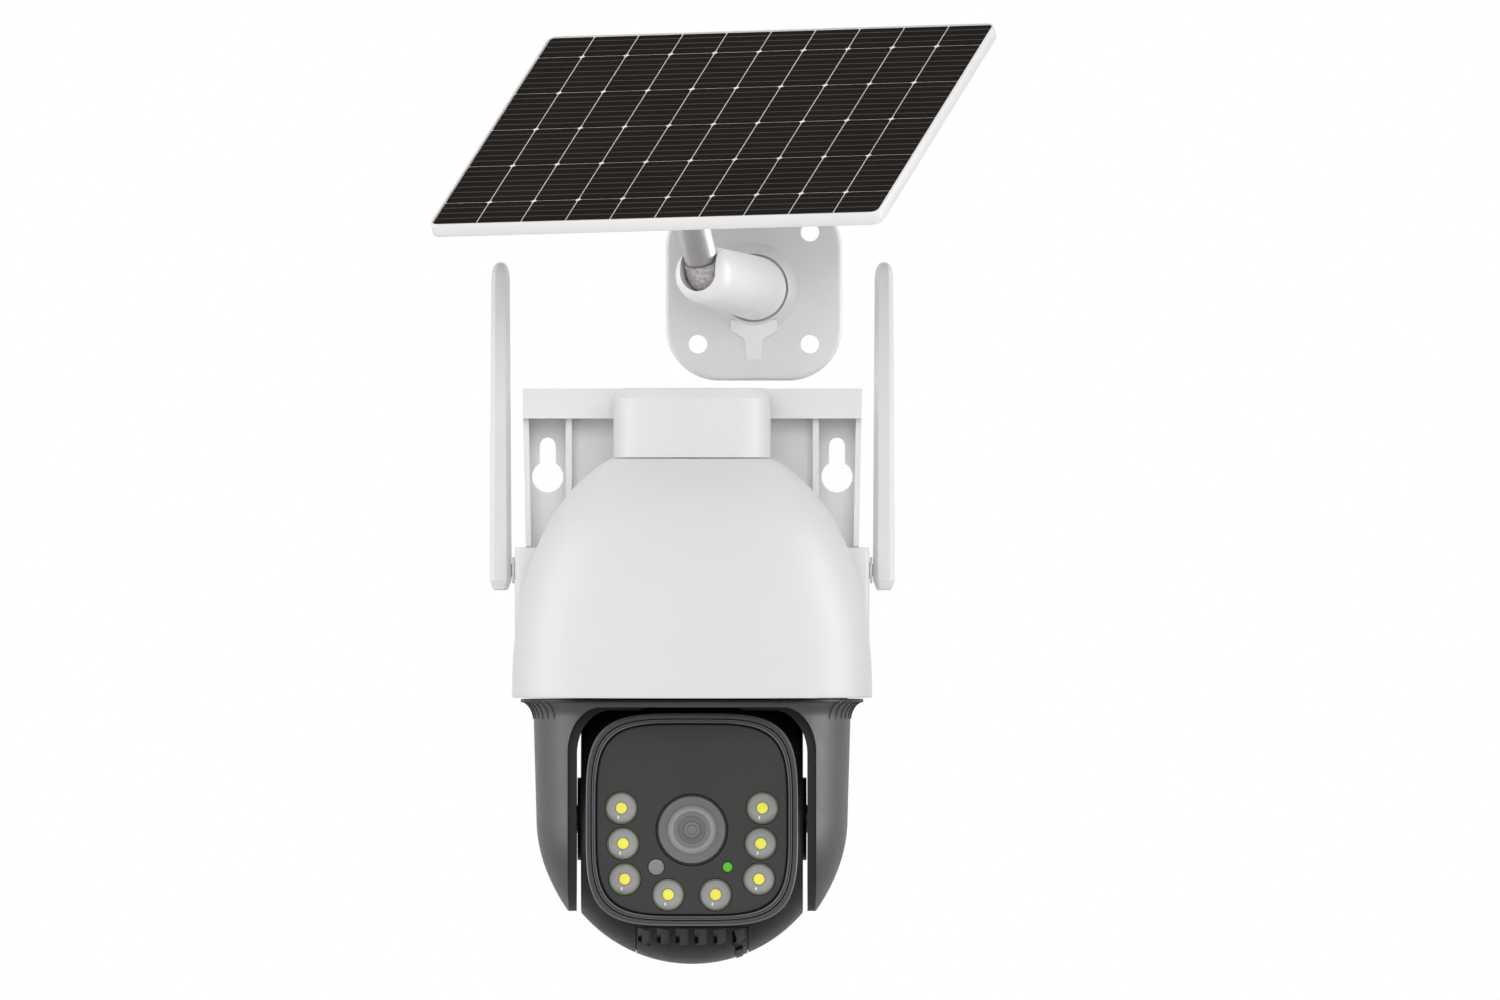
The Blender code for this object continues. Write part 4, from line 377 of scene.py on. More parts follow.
CELL_ROWS = (0.6, 1, 1, 1, 1, 0.55)
CELL_GAP = 0.55 * MM
CELL_CHAMFER = 0.85 * MM
CELL_CORNER = 0.25 * MM
BUSBARS = 6
BUSBAR_WIDTH = 0.4 * MM
BUSBAR_PROUD = 0.03 * MM


# Materials


def node(tree, kind, **values):
    """A new shader node with some of its inputs set; an underscore stands for a space in their names."""
    made = tree.nodes.new("ShaderNode" + kind)
    for name, value in values.items():
        made.inputs[name.replace("_", " ")].default_value = value
    return made


def shader(name="finish"):
    """A new material, its node tree and its surface shader."""
    made = bpy.data.materials.new(name)
    made.use_nodes = True
    return made, made.node_tree, made.node_tree.nodes["Principled BSDF"]


def noise(tree, size, detail=2.0, stretch=(1, 1, 1)):
    """Noise with features about `size` metres wide, fixed to the object."""
    where = node(tree, "TexCoord")
    scaled = node(tree, "Mapping", Scale=stretch)
    made = node(tree, "TexNoise", Scale=1 / size, Detail=detail)
    tree.links.new(where.outputs["Object"], scaled.inputs["Vector"])
    tree.links.new(scaled.outputs["Vector"], made.inputs["Vector"])
    return made.outputs["Fac"]


def spread(tree, value, low, high):
    """A noise value mapped to low..high."""
    made = node(tree, "MapRange", From_Min=NOISE_LOW, From_Max=NOISE_HIGH, To_Min=low, To_Max=high)
    tree.links.new(value, made.inputs["Value"])
    return made.outputs["Result"]


def tinted(tree, value, dark, light):
    """A colour between dark and light by a noise value."""
    made = tree.nodes.new("ShaderNodeMix")
    made.data_type = "RGBA"
    made.inputs["A"].default_value = (*dark, 1)
    made.inputs["B"].default_value = (*light, 1)
    tree.links.new(spread(tree, value, 0, 1), made.inputs["Factor"])
    return made.outputs["Result"]


def bumped(tree, surface, value, depth):
    """Bump of about `depth` metres on the surface."""
    made = node(tree, "Bump", Strength=1, Distance=depth)
    tree.links.new(value, made.inputs["Height"])
    tree.links.new(made.outputs["Normal"], surface.inputs["Normal"])


def shades(colour, vary):
    """The darkest and the lightest shade of a colour."""
    return [[min(1, part * (1 + change)) for part in colour] for change in (-vary, vary)]


def moulding(colour, roughness, grain=0.5 * MM, depth=0.006 * MM, vary=0.03, sheen=0.5, coat=0,
             mottle=24 * MM):
    """Moulded plastic or paint: faint mottling of a given size and a fine spark-eroded grain."""
    made, tree, surface = shader()
    flow = noise(tree, mottle, 3)
    tree.links.new(tinted(tree, flow, *shades(colour, vary)), surface.inputs["Base Color"])
    gloss = spread(tree, noise(tree, GLOSS_PATCH, 4), roughness - GLOSS_VARY, roughness + GLOSS_VARY)
    tree.links.new(gloss, surface.inputs["Roughness"])
    surface.inputs["Specular IOR Level"].default_value = sheen
    surface.inputs["Coat Weight"].default_value = coat
    bumped(tree, surface, noise(tree, grain, 2), depth)
    return made


def metal(colour, roughness, grain=0.3 * MM, depth=0.01 * MM, stretch=(1, 1, 1), vary=0.08):
    """Metal with a drawn, brushed or cast grain."""
    made, tree, surface = shader()
    streaks = noise(tree, grain, 3, stretch)
    tint = tinted(tree, noise(tree, METAL_PATCH, 3, stretch), *shades(colour, vary))
    tree.links.new(tint, surface.inputs["Base Color"])
    gloss = spread(tree, streaks, roughness - METAL_VARY, roughness + METAL_VARY)
    tree.links.new(gloss, surface.inputs["Roughness"])
    surface.inputs["Metallic"].default_value = 1
    bumped(tree, surface, streaks, depth)
    return made


def materials():
    """The finish of each slot in the record, and those of the fine pieces."""
    made = {
        "white_plastic": moulding((0.685, 0.685, 0.687), 0.42, vary=0.006, sheen=0.16),
        # Lighter copy of the white for the wall bracket: painted light
        "bracket_white_painted_light": moulding((0.81, 0.81, 0.812), 0.42, vary=0.006, sheen=0.16),
        "black_plastic": moulding((0.007, 0.007, 0.0074), 0.36, depth=0.004 * MM, vary=0.08, sheen=0.1),
        "face_acrylic": moulding((0.044, 0.044, 0.044), 0.45, sheen=0.2),
        "seal_rubber": moulding((0.012, 0.012, 0.012), 0.7, vary=0.15),
        "lamp_lens": moulding((0.27, 0.27, 0.275), 0.3, vary=0.12, coat=0.4),
        "lens_housing": moulding((0.15, 0.15, 0.152), 0.45, vary=0.04, sheen=0.3),
        "lens_barrel": moulding((0.27, 0.27, 0.272), 0.4, vary=0.04, sheen=0.3),
        "lens_glass": moulding((0.155, 0.155, 0.157), 0.35, coat=0.2),
        "sensor_window": moulding((0.2, 0.2, 0.2), 0.3, vary=0.05),
        "status_green": moulding((0.095, 0.46, 0.022), 0.3, vary=0.05),
        "circuit_board": moulding((0.02, 0.12, 0.05), 0.35, vary=0.15),
        "steel": metal((0.6, 0.6, 0.6), 0.3),
        "motor_can": metal((0.5, 0.5, 0.51), 0.35),
        "acetal": moulding((0.72, 0.7, 0.64), 0.5),
        "cell_sleeve": moulding((0.04, 0.16, 0.4), 0.25, vary=0.08),
        "bracket_plastic": moulding((0.78, 0.77, 0.785), 0.42, 0.8 * MM, 0.02 * MM),
        # Lighter copy of the bracket plastic for the gusset and the elbow: painted light
        "bracket_pale_painted_light": moulding((0.92, 0.91, 0.92), 0.42, 0.8 * MM, 0.02 * MM),
        "cast_alloy": moulding((0.52, 0.49, 0.505), 0.5, 1.0 * MM, 0.12 * MM, 0.35, mottle=1.3 * MM),
        "grey_rod": metal((0.42, 0.41, 0.41), 0.5, stretch=(1, 1, 0.1)),
        "panel_frame": moulding((0.78, 0.77, 0.775), 0.4, depth=0.002 * MM, vary=0.015, sheen=0.22),
        "solar_glass": moulding((0.0145, 0.0115, 0.009), 0.4, vary=0.12, sheen=0.005),
        "back_sheet": moulding((0.62, 0.62, 0.62), 0.55, vary=0.05),
        "nylon": moulding((0.02, 0.02, 0.02), 0.5, vary=0.1),
        # Painted shade on the yoke's arch step
        "yoke_step_painted_shade": moulding((0.03, 0.03, 0.03), 0.5, vary=0.06, sheen=0.1),
        "lamp_rim": moulding((0.19, 0.19, 0.115), 0.35, vary=0.08),
        "lamp_wall": moulding((0.09, 0.09, 0.08), 0.35, vary=0.08),
        "lamp_chip": moulding((0.82, 0.78, 0.1), 0.45, 0.4 * MM, 0.02 * MM, vary=0.06),
        # Painted highlight on each lamp's bowl
        "lamp_painted_glint": moulding((0.8, 0.8, 0.8), 0.4),
        # Lighter copy of the black on the yoke's outside and ribs: painted highlight
        "yoke_painted_highlight": moulding((0.056, 0.056, 0.057), 0.4, 0.5 * MM, 0.003 * MM, 0.05, 0.2),
        # Lighter copies of the black on the bezel: painted light on its band, painted highlights on its edge
        # and ridge
        "bezel_band_painted_light": moulding((0.042, 0.042, 0.043), 0.35, vary=0.05, depth=0.002 * MM),
        "bezel_painted_highlight": moulding((0.13, 0.13, 0.132), 0.25, vary=0.05, depth=0.002 * MM),
        # Lighter copy of the black for the grip floors: painted light
        "grip_floor_painted_light": moulding((0.031, 0.031, 0.033), 0.4, vary=0.08, sheen=0.25),
        # Near black: the lens's own dark rings, and painted shade in the cap's hollow, round the lens disc
        # and in the grip slots
        "lens_dark_and_painted_shade": moulding((0.006, 0.006, 0.0065), 0.3, vary=0.1),
        "lens_ring": moulding((0.125, 0.125, 0.127), 0.4, vary=0.05),
        "lens_core": moulding((0.15, 0.15, 0.152), 0.3, coat=0.3),
        "cell_line": moulding((0.86, 0.85, 0.83), 0.5, vary=0.04, sheen=0.1),
        "busbar": moulding((0.066, 0.06, 0.052), 0.4, vary=0.1, sheen=0.05),
    }
    for name, finish in made.items():
        finish.name = f"{name}_finish"
    return made


# Outlines


def between(start, end, steps):
    """Evenly spaced values, ends included."""
    return [start + (end - start) * i / steps for i in range(steps + 1)]


def arc(centre, radius_u, radius_v, start, end, steps):
    """Points of an elliptical arc, ends included."""
    angles = between(start, end, steps)
    return [(centre[0] + radius_u * cos(a), centre[1] + radius_v * sin(a)) for a in angles]


def bow(radius, start, end, steps):
    """Points of a round arc about the origin, ends included."""
    return arc((0, 0), radius, radius, start, end, steps)


def rounded_outline(width, height, radius, steps=16):
    """A rectangle about the origin with round corners."""
    points = []
    for turn, (su, sv) in enumerate(((1, 1), (-1, 1), (-1, -1), (1, -1))):
        centre = (su * (width / 2 - radius), sv * (height / 2 - radius))
        points += arc(centre, radius, radius, turn * pi / 2, (turn + 1) * pi / 2, steps)
    return points


def superellipse(half):
    """The bulging square outline of the camera's face."""
    def power(value):
        return copysign(abs(value) ** (2 / BEZEL_EXPONENT), value)

    angles = [2 * pi * (i + 0.5) / ROUND for i in range(ROUND)]
    return [(half * power(cos(a)), half * power(sin(a))) for a in angles]


def stadium(half, back):
    """Plan of the carrying arm's cap: a half circle about the pan axis, with straight sides to the wall."""
    return [(half, back)] + arc((0, PAN_Y), half, half, 0, -pi, 64) + [(-half, back)]


def dome_curve(shrink, roof, steps):
    """Points (radius, height) up the dome from its rim, on a superellipse."""
    radius = DOME_RADIUS - shrink
    crown = DOME_CROWN - roof
    height = DOME_HEIGHT - roof
    last = asin((height / crown) ** (DOME_EXPONENT / 2))
    power = 2 / DOME_EXPONENT
    return [(radius * cos(a) ** power, DOME_RIM + crown * sin(a) ** power) for a in between(0, last, steps)]


def level(outline, height):
    """An outline in X and Y, raised to a height."""
    return [(u, v, height) for u, v in outline]


# Meshes


def closed(bm):
    """A mesh with all its faces turned outwards."""
    bmesh.ops.recalc_face_normals(bm, faces=bm.faces)
    return bm


def stitch(bm, lower, upper, finish=0):
    """Adds the faces between two rings of vertices, one of which may be a single point."""
    count = max(len(lower), len(upper))
    for i in range(count):
        j = (i + 1) % count
        corners = [lower[i % len(lower)], lower[j % len(lower)]]
        corners += [upper[j % len(upper)], upper[i % len(upper)]]
        bm.faces.new(dict.fromkeys(corners)).material_index = finish


def turned(profile, steps=ROUND, paint=None):
    """A closed profile of (radius, height) points turned about Z; paint gives each side's finish."""
    bm = bmesh.new()
    around = [(cos(2 * pi * i / steps), sin(2 * pi * i / steps)) for i in range(steps)]
    rings = []
    for radius, height in profile:
        spots = around if radius > TINY else [(0, 0)]
        rings.append([bm.verts.new((radius * x, radius * y, height)) for x, y in spots])
    for side, (lower, upper) in enumerate(zip(rings, rings[1:] + rings[:1])):
        if len(lower) + len(upper) > 2:
            stitch(bm, lower, upper, paint[side] if paint else 0)
    return closed(bm)


def loft(loops, ring=False, paint=None):
    """A solid through a stack of loops with equal numbers of points, or a closed ring through them."""
    bm = bmesh.new()
    rows = [[bm.verts.new(point) for point in loop] for loop in loops]
    pairs = list(zip(rows, rows[1:]))
    if ring:
        pairs.append((rows[-1], rows[0]))
    else:
        bm.faces.new(rows[0])
        bm.faces.new(rows[-1])
    for side, (lower, upper) in enumerate(pairs):
        stitch(bm, lower, upper, paint[side] if paint else 0)
    return closed(bm)


def prism(outline, low, high):
    """An outline in X and Y pulled along Z."""
    return loft([level(outline, low), level(outline, high)])


def block(x0, x1, y0, y1, z0, z1):
    return prism([(x0, y0), (x1, y0), (x1, y1), (x0, y1)], z0, z1)


def bored(radius, low, high, steps=ROUND_SMALL):
    """A rod about Z to cut a round hole with."""
    return turned([(0, low), (radius, low), (radius, high), (0, high)], steps)


def sectioned(section, front, steps):
    """A shape turned about Z, from rows of radius and rise in millimetres and a finish."""
    profile = [(radius * MM, front + rise * MM) for radius, rise, finish in section]
    return turned(profile, steps, [finish for radius, rise, finish in section])


def ball(radius, half, steps=ROUND, rings=48):
    """A ball turned about X with flat sides at X = +half and -half."""
    limit = asin(half / radius)
    profile = [(0, -half)] + bow(radius, -limit, limit, rings) + [(0, half)]
    return moved(turned(profile, steps), ACROSS)


def ball_patch(inner, outer, x0, x1, back, front, across=24, along=32):
    """A curved plate on a ball, between two X values and two angles forward of straight down."""
    there = between(back, front, along)
    loops = []
    for x in between(x0, x1, across):
        loop = []
        for radius, angles in ((inner, there), (outer, there[::-1])):
            reach = sqrt(radius ** 2 - x ** 2)
            loop += [(x, -reach * sin(a), -reach * cos(a)) for a in angles]
        loops.append(loop)
    return loft(loops)


def hull(points):
    """The skin drawn tight over a set of points."""
    bm = bmesh.new()
    for point in points:
        bm.verts.new(point)
    wrap = bmesh.ops.convex_hull(bm, input=bm.verts)
    inside = [item for item in wrap["geom_interior"] if isinstance(item, bmesh.types.BMVert)]
    bmesh.ops.delete(bm, geom=inside, context="VERTS")
    return closed(bm)


def sliced(bm, point, outward):
    """Cut a closed mesh by a plane, drop what lies outwards and close the cut."""
    geom = bm.verts[:] + bm.edges[:] + bm.faces[:]
    bmesh.ops.bisect_plane(bm, geom=geom, plane_co=point, plane_no=outward, clear_outer=True, dist=TINY)
    bmesh.ops.holes_fill(bm, edges=[edge for edge in bm.edges if edge.is_boundary])
    return closed(bm)


def trimmed(bm, y, side):
    """Cut a closed mesh square to Y and drop what lies on one side, -1 or 1."""
    return sliced(bm, (0, y, 0), (0, side, 0))


def moved(bm, matrix):
    bmesh.ops.transform(bm, matrix=matrix, verts=bm.verts)
    return bm


def shifted(bm, x=0.0, y=0.0, z=0.0):
    return moved(bm, Matrix.Translation((x, y, z)))


def merged(shapes):
    """Several shapes that lie apart, as one mesh."""
    bm = bmesh.new()
    mesh = bpy.data.meshes.new("merge")
    for shape in shapes:
        shape.to_mesh(mesh)
        bm.from_mesh(mesh)
        shape.free()
    bpy.data.meshes.remove(mesh)
    return bm


def painted(bm, finish):
    """A mesh with one of its piece's finishes on every face."""
    for face in bm.faces:
        face.material_index = finish
    return bm


def linked(name, data):
    """A new object in the scene."""
    thing = bpy.data.objects.new(name, data)
    bpy.context.scene.collection.objects.link(thing)
    return thing


def helper(bm):
    """A passing object for the Boolean steps."""
    mesh = bpy.data.meshes.new("helper")
    bm.to_mesh(mesh)
    bm.free()
    for _ in range(FINISH_SLOTS):
        mesh.materials.append(None)
    return linked("helper", mesh)


def carved(bm, cut=(), add=(), keep=()):
    """A mesh after exact Boolean steps: shapes added, shapes it is kept within, then shapes cut away."""
    steps = [("UNION", shape) for shape in add]
    steps += [("INTERSECT", shape) for shape in keep]
    steps += [("DIFFERENCE", shape) for shape in cut]
    target = helper(bm)
    tools = []
    for operation, shape in steps:
        boolean = target.modifiers.new("step", "BOOLEAN")
        boolean.operation = operation
        boolean.solver = "EXACT"
        boolean.object = helper(shape)
        tools.append(boolean.object)
    graph = bpy.context.evaluated_depsgraph_get()
    mesh = bpy.data.meshes.new_from_object(target.evaluated_get(graph))
    result = bmesh.new()
    result.from_mesh(mesh)
    bmesh.ops.remove_doubles(result, verts=result.verts, dist=WELD_DISTANCE)
    bmesh.ops.dissolve_degenerate(result, dist=WELD_DISTANCE, edges=result.edges)
    bpy.data.meshes.remove(mesh)
    for thing in tools + [target]:
        used = thing.data
        bpy.data.objects.remove(thing)
        bpy.data.meshes.remove(used)
    return result


def edges_rounded(thing):
    """Small round edges that catch the light."""
    bevel = thing.modifiers.new("round", "BEVEL")
    bevel.width = EDGE_ROUND
    bevel.segments = 2
    bevel.limit_method = "ANGLE"
    bevel.angle_limit = SMOOTH_ANGLE
    bevel.harden_normals = True


def piece(name, bm, look, body, slot, nodes=(), finishes=(), sharp=SMOOTH_ANGLE):
    """A piece that rides on a body and may stand for solids, in its slot's finish or the listed ones."""
    mesh = bpy.data.meshes.new(name)
    bm.to_mesh(mesh)
    bm.free()
    mesh.shade_smooth()
    mesh.set_sharp_from_angle(angle=sharp)
    for finish in finishes or [slot]:
        mesh.materials.append(look[finish])
    thing = linked(name, mesh)
    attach(thing, body)
    if nodes:
        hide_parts(*nodes)
    return thing


# Dome and cap


def dome(look):
    """The white dome, notched at the back for the battery housing."""
    lip = arc((DOME_RADIUS - DOME_LIP, DOME_RIM + DOME_LIP), DOME_LIP, DOME_LIP, -pi / 2, 0, 4)
    outer = [point for point in dome_curve(0, 0, 56) if point[1] > DOME_RIM + DOME_LIP]
    top = DOME_RIM + DOME_HEIGHT
    eye = [(DOME_EYE, top), (DOME_EYE, top - DOME_ROOF)]
    shell = shifted(turned(lip + outer + eye + dome_curve(DOME_WALL, DOME_ROOF, 20)[::-1]), y=PAN_Y)
    notch = block(-REACH, REACH, PAN_Y + NOTCH_FRONT, PAN_Y + REACH, DOME_RIM - LAP, NOTCH_TOP)
    piece("dome_skin", carved(shell, [notch]), look, "wall_units", "white_plastic", ["dome_shell"])


def cap(look):
    """The cover of the carrying arm, chamfered round its top; its hollow is painted near black, a painted
    shade that draws the seam on the dome as a dark line.
    """
    shoulder = CAP_TOP - CAP_CHAMFER_DOWN
    inner = CAP_RADIUS - CAP_CHAMFER_IN
    soft = CAP_EDGE / 2
    levels = [(CAP_RADIUS, CAP_BOTTOM), (CAP_RADIUS, shoulder - CAP_EDGE), (CAP_RADIUS - soft, shoulder)]
    levels += [(inner + CAP_EDGE, CAP_TOP - soft), (inner - soft, CAP_TOP)]
    solid = loft([level(stadium(half, CAP_BACK), height) for half, height in levels])
    # The hollow is painted near black: painted shade in the seam between cap and dome
    inside = prism(stadium(CAP_RADIUS - CAP_WALL, CAP_BACK + LAP), CAP_BOTTOM - LAP, CAP_TOP - CAP_ROOF)
    piece("cap_skin", carved(solid, [painted(inside, 1)]), look, "wall_units", "white_plastic", ["top_cap"],
          ["white_plastic", "lens_dark_and_painted_shade"], CAP_SHARP)


# Yoke


def at_ball(bm):
    """A mesh made about the ball's middle, set in place."""
    return shifted(bm, 0, PAN_Y, TILT_Z)


def axle(radius, x0, x1):
    """A rod along the tilt axis."""
    return at_ball(moved(bored(radius, x0, x1), ACROSS))


def flare_curve(steps):
    """Points (radius, height) down the flare under the dome's rim."""
    return arc((FLARE_OUTER, FLARE_BOTTOM), -FLARE_WIDTH, FLARE_DROP, pi / 2, 0, steps)


def arch(half, top):
    """The opening between the arms: straight sides, and a flat top with round corners."""
    low = TILT_Z - ARM_BELOW - LAP
    centre = half - ARCH_CORNER_X
    outline = [(-half, low), (half, low)]
    outline += arc((centre, top - ARCH_CORNER_Z), ARCH_CORNER_X, ARCH_CORNER_Z, 0, pi / 2, 24)
    outline += arc((-centre, top - ARCH_CORNER_Z), ARCH_CORNER_X, ARCH_CORNER_Z, pi / 2, pi, 24)
    return shifted(loft([[(u, y, v) for u, v in outline] for y in (-REACH, REACH)]), y=PAN_Y)


def yoke(look):
    """The turned yoke with the arch between its arms; the arch's step is darkened with painted shade, and
    the outside takes a lighter copy of the black as painted highlight.
    """
    arm = [(ARM_RADIUS - ARM_CURVE * t ** 2, TILT_Z - ARM_BELOW * t) for t in between(0, 1, 20)]
    shell = CUP_RADIUS + CUP_WALL
    inner = SPIGOT_RADIUS - SPIGOT_WALL
    crown = between(CABLE_HOLE, inner, 4)
    profile = [(CABLE_HOLE, TILT_Z)] + [(r, TILT_Z + sqrt(shell ** 2 - r ** 2)) for r in crown]
    profile += [(inner, SPIGOT_TOP), (SPIGOT_RADIUS, SPIGOT_TOP), (SPIGOT_RADIUS, SPIGOT_STEP)]
    profile += [(COLLAR_RADIUS, SPIGOT_STEP), (COLLAR_RADIUS, YOKE_TOP), (FLARE_OUTER, YOKE_TOP)]
    first = len(profile)
    profile += flare_curve(10) + arm + [(CABLE_HOLE, TILT_Z - ARM_BELOW)]
    outside = range(first, len(profile) - 2)
    # The outside, finish 2, is the lighter copy of the black: painted highlight
    paint = [2 if i in outside else 0 for i in range(len(profile))]
    solid = shifted(turned(profile, ROUND, paint), y=PAN_Y)
    sides = arc((0, TILT_Z), ARCH_LIP_DEPTH, ARM_ROUND, pi, 2 * pi, 48)
    core = [(ARCH_LIP_DEPTH, REACH), (-ARCH_LIP_DEPTH, REACH)] + sides
    core = loft([[(x, PAN_Y + y, z) for y, z in core] for x in (-REACH, REACH)])
    # The arch's step, finish 1, is painted darker: painted shade
    lips = carved(arch(ARM_INNER + ARCH_LIP, ARCH_TOP + ARCH_STEP), [core])
    ends = ((-PIVOT_END, LAP - ARM_INNER), (ARM_INNER - LAP, PIVOT_END))
    bores = merged([axle(PIVOT_BORE, x0, x1) for x0, x1 in ends])
    cup = at_ball(ball(CUP_RADIUS, ARM_INNER))
    head = carved(solid, [arch(ARM_INNER, ARCH_TOP), painted(lips, 1), cup, bores])
    piece("yoke_skin", head, look, "pan_head", "black_plastic", ["yoke"],
          ["black_plastic", "yoke_step_painted_shade", "yoke_painted_highlight"])


def flare_ribs(look):
    """Fine upright ribs on the flare above each arm."""
    curve = flare_curve(8)
    last = len(curve) - 1
    ribs = []
    for side in (0, pi):
        for number in range(RIB_COUNT):
            angle = side + (number - (RIB_COUNT - 1) / 2) * RIB_STEP
            out = Vector((cos(angle), sin(angle), 0))
            wide = Vector((-sin(angle), cos(angle), 0)) * RIB_WIDTH / 2
            narrow = wide * RIB_TIP
            loops = []
            for step, (radius, height) in enumerate(curve):
                lean = pi / 2 * step / last
                away = out * sin(lean) - Vector((0, 0, cos(lean)))
                swell = sqrt(sin(pi * (step + RIB_FADE) / (last + 2 * RIB_FADE)))
                root = Vector((0, PAN_Y, height)) + out * radius - away * RIB_PROUD / 2
                tip = root + away * RIB_PROUD * (0.5 + swell)
                loops.append([root - wide, tip - narrow, tip + narrow, root + wide])
            ribs.append(loft(loops))
    # The ribs take the yoke's lighter copy of the black: painted highlight
    piece("flare_ribs", merged(ribs), look, "pan_head", "black_plastic", finishes=["yoke_painted_highlight"],
          sharp=RIB_SHARP)


# Camera ball


def faced(bm, x=0.0, z=0.0):
    """A mesh made about Z with its front upwards, set on the camera's face."""
    return moved(bm, Matrix.Translation((x, PAN_Y, TILT_Z + z)) @ UPRIGHT)


def bay_sector(half, grow):
    """The part of the ball's wall that the card cover fills, from under the bezel backwards."""
    pull = Vector((0, -sin(COVER_PULL), -cos(COVER_PULL)))
    side = Vector((0, -cos(COVER_PULL), sin(COVER_PULL)))
    rim = Vector((0, -sin(COVER_BACK), -cos(COVER_BACK))) * BALL_RADIUS
    reach = 2 * BALL_RADIUS
    low = side * (rim.dot(side) - grow)
    inside = low + pull * BAY_INSIDE
    outside = low + pull * reach
    top = grow - BEZEL_HALF - 2 * FIT
    corners = [(inside.y, inside.z), (-BEZEL_ROOT, top), (-reach, top), (-reach, -reach)]
    corners += [(outside.y, outside.z)]
    return loft([[(x, y, z) for y, z in corners] for x in (-half - grow, half + grow)])


def squared(half, low, high):
    """A prism of the face's outline between two depths forward of the pan axis."""
    return faced(prism(superellipse(half), low, high))


def ball_inside(inset):
    """The hollow of the ball, at a depth under its skin."""
    return ball(BALL_RADIUS - inset, BALL_HALF - inset, ROUND_MIDDLE, 16)


def front_shell(look):
    """Front of the ball, with its squared bezel, hubs, face recess and card bay."""
    body = trimmed(ball(BALL_RADIUS, BALL_HALF), -BEZEL_FRONT, -1)
    body = at_ball(trimmed(body, BALL_SPLIT, 1))
    hub = ARM_INNER - FIT
    add = [squared(BEZEL_HALF, BEZEL_ROOT, BEZEL_FRONT), axle(HUB_RADIUS, -hub, hub)]
    cut = [at_ball(trimmed(ball_inside(BALL_WALL), -LEDGE_BACK, -1))]
    cut += [squared(FACE_HALF, LEDGE_FRONT, BEZEL_FRONT + LAP)]
    cut += [squared(OPENING_HALF, LEDGE_BACK - LAP, BEZEL_FRONT + LAP)]
    cut += [at_ball(bay_sector(COVER_HALF, FIT)), axle(PIVOT_BORE, -hub - LAP, hub + LAP)]
    piece("ball_front_skin", carved(body, cut, add), look, "camera_ball", "black_plastic",
          ["ball_front_shell"])


def rear_shell(look):
    """Back of the ball, with a tongue inside the front's rim that keeps light out of the seam."""
    body = trimmed(ball(BALL_RADIUS, BALL_HALF), BALL_SPLIT + FIT, -1)
    inset = BALL_WALL + FIT / 2
    tongue = trimmed(ball(BALL_RADIUS - inset, BALL_HALF - inset), BALL_SPLIT - BALL_TONGUE, -1)
    tongue = trimmed(tongue, BALL_SPLIT + 2 * BALL_TONGUE, 1)
    hollow = trimmed(ball_inside(BALL_WALL), BALL_SPLIT + BALL_TONGUE, -1)
    shell = carved(body, [ball_inside(inset + BALL_WALL / 2), hollow], [tongue])
    piece("ball_rear_skin", at_ball(shell), look, "camera_ball", "black_plastic", ["ball_rear_shell"])


def bezel_ring(look):
    """The stepped rim round the face: a bright edge, a flat band, a groove and a fine inner ridge; the edge
    and ridge carry painted highlights and the band painted light, in lighter copies of the black.
    """
    loops = [level(superellipse(half * MM), BEZEL_FRONT + rise * MM) for half, rise, finish in BEZEL_SECTION]
    bead = faced(loft(loops, True, [finish for half, rise, finish in BEZEL_SECTION]))
    piece("bezel_bead", bead, look, "camera_ball", "black_plastic",
          finishes=["bezel_band_painted_light", "bezel_painted_highlight", "black_plastic"], sharp=BEZEL_SHARP)


def card_cover(look):
    """The curved cover of the card bay: grip recesses along its front, a pull tab at its right."""
    front = acos(BEZEL_HALF / BALL_RADIUS)
    plate = ball_patch(BALL_RADIUS - COVER_WALL, BALL_RADIUS, -COVER_HALF - LAP, COVER_HALF + LAP,
                       COVER_BACK - COVER_SPARE, front + COVER_SPARE)
    tab = ball_patch(BALL_RADIUS - COVER_WALL / 2, BALL_RADIUS + TAB_PROUD, TAB_X - TAB_WIDTH / 2,
                     TAB_X + TAB_WIDTH / 2, TAB_BACK, TAB_FRONT, 4, 8)
    half = GRIP_WIDTH / 2
    length = GRIP_LENGTH / 2
    ends = [(-length, GRIP_DEPTH), (length, GRIP_SHALLOW), (length, -GRIP_LENGTH), (-length, -GRIP_LENGTH)]
    scoops = []
    slots = []
    for number in range(GRIP_COUNT):
        x = (number - (GRIP_COUNT - 1) / 2) * GRIP_PITCH
        reach = sqrt(BALL_RADIUS ** 2 - x ** 2)
        turn = -acos(BALL_RADIUS * cos(GRIP_TILT) / reach)
        place = Matrix.Rotation(turn, 4, "X") @ Matrix.Translation((x, 0, -reach))
        scoop = loft([[(u, v, w) for v, w in ends] for u in (-half, half)])
        slot = block(-half - FIT, GRIP_SLOT - half, -length, length - LAP, -GRIP_LENGTH, GRIP_DEPTH + FIT)
        scoops.append(moved(scoop, place))
        slots.append(moved(slot, place))
    # Grip floors, finish 1, get a lighter copy of the black as painted light; the slot at each grip's left,
    # finish 2, is near black as painted shadow
    cover = carved(plate, [painted(merged(scoops), 1), painted(merged(slots), 2)], [tab],
                   [bay_sector(COVER_HALF, 0)])
    piece("card_cover_skin", at_ball(cover), look, "bay_cover", "black_plastic", ["card_cover"],
          ["black_plastic", "grip_floor_painted_light", "lens_dark_and_painted_shade"])


# Face


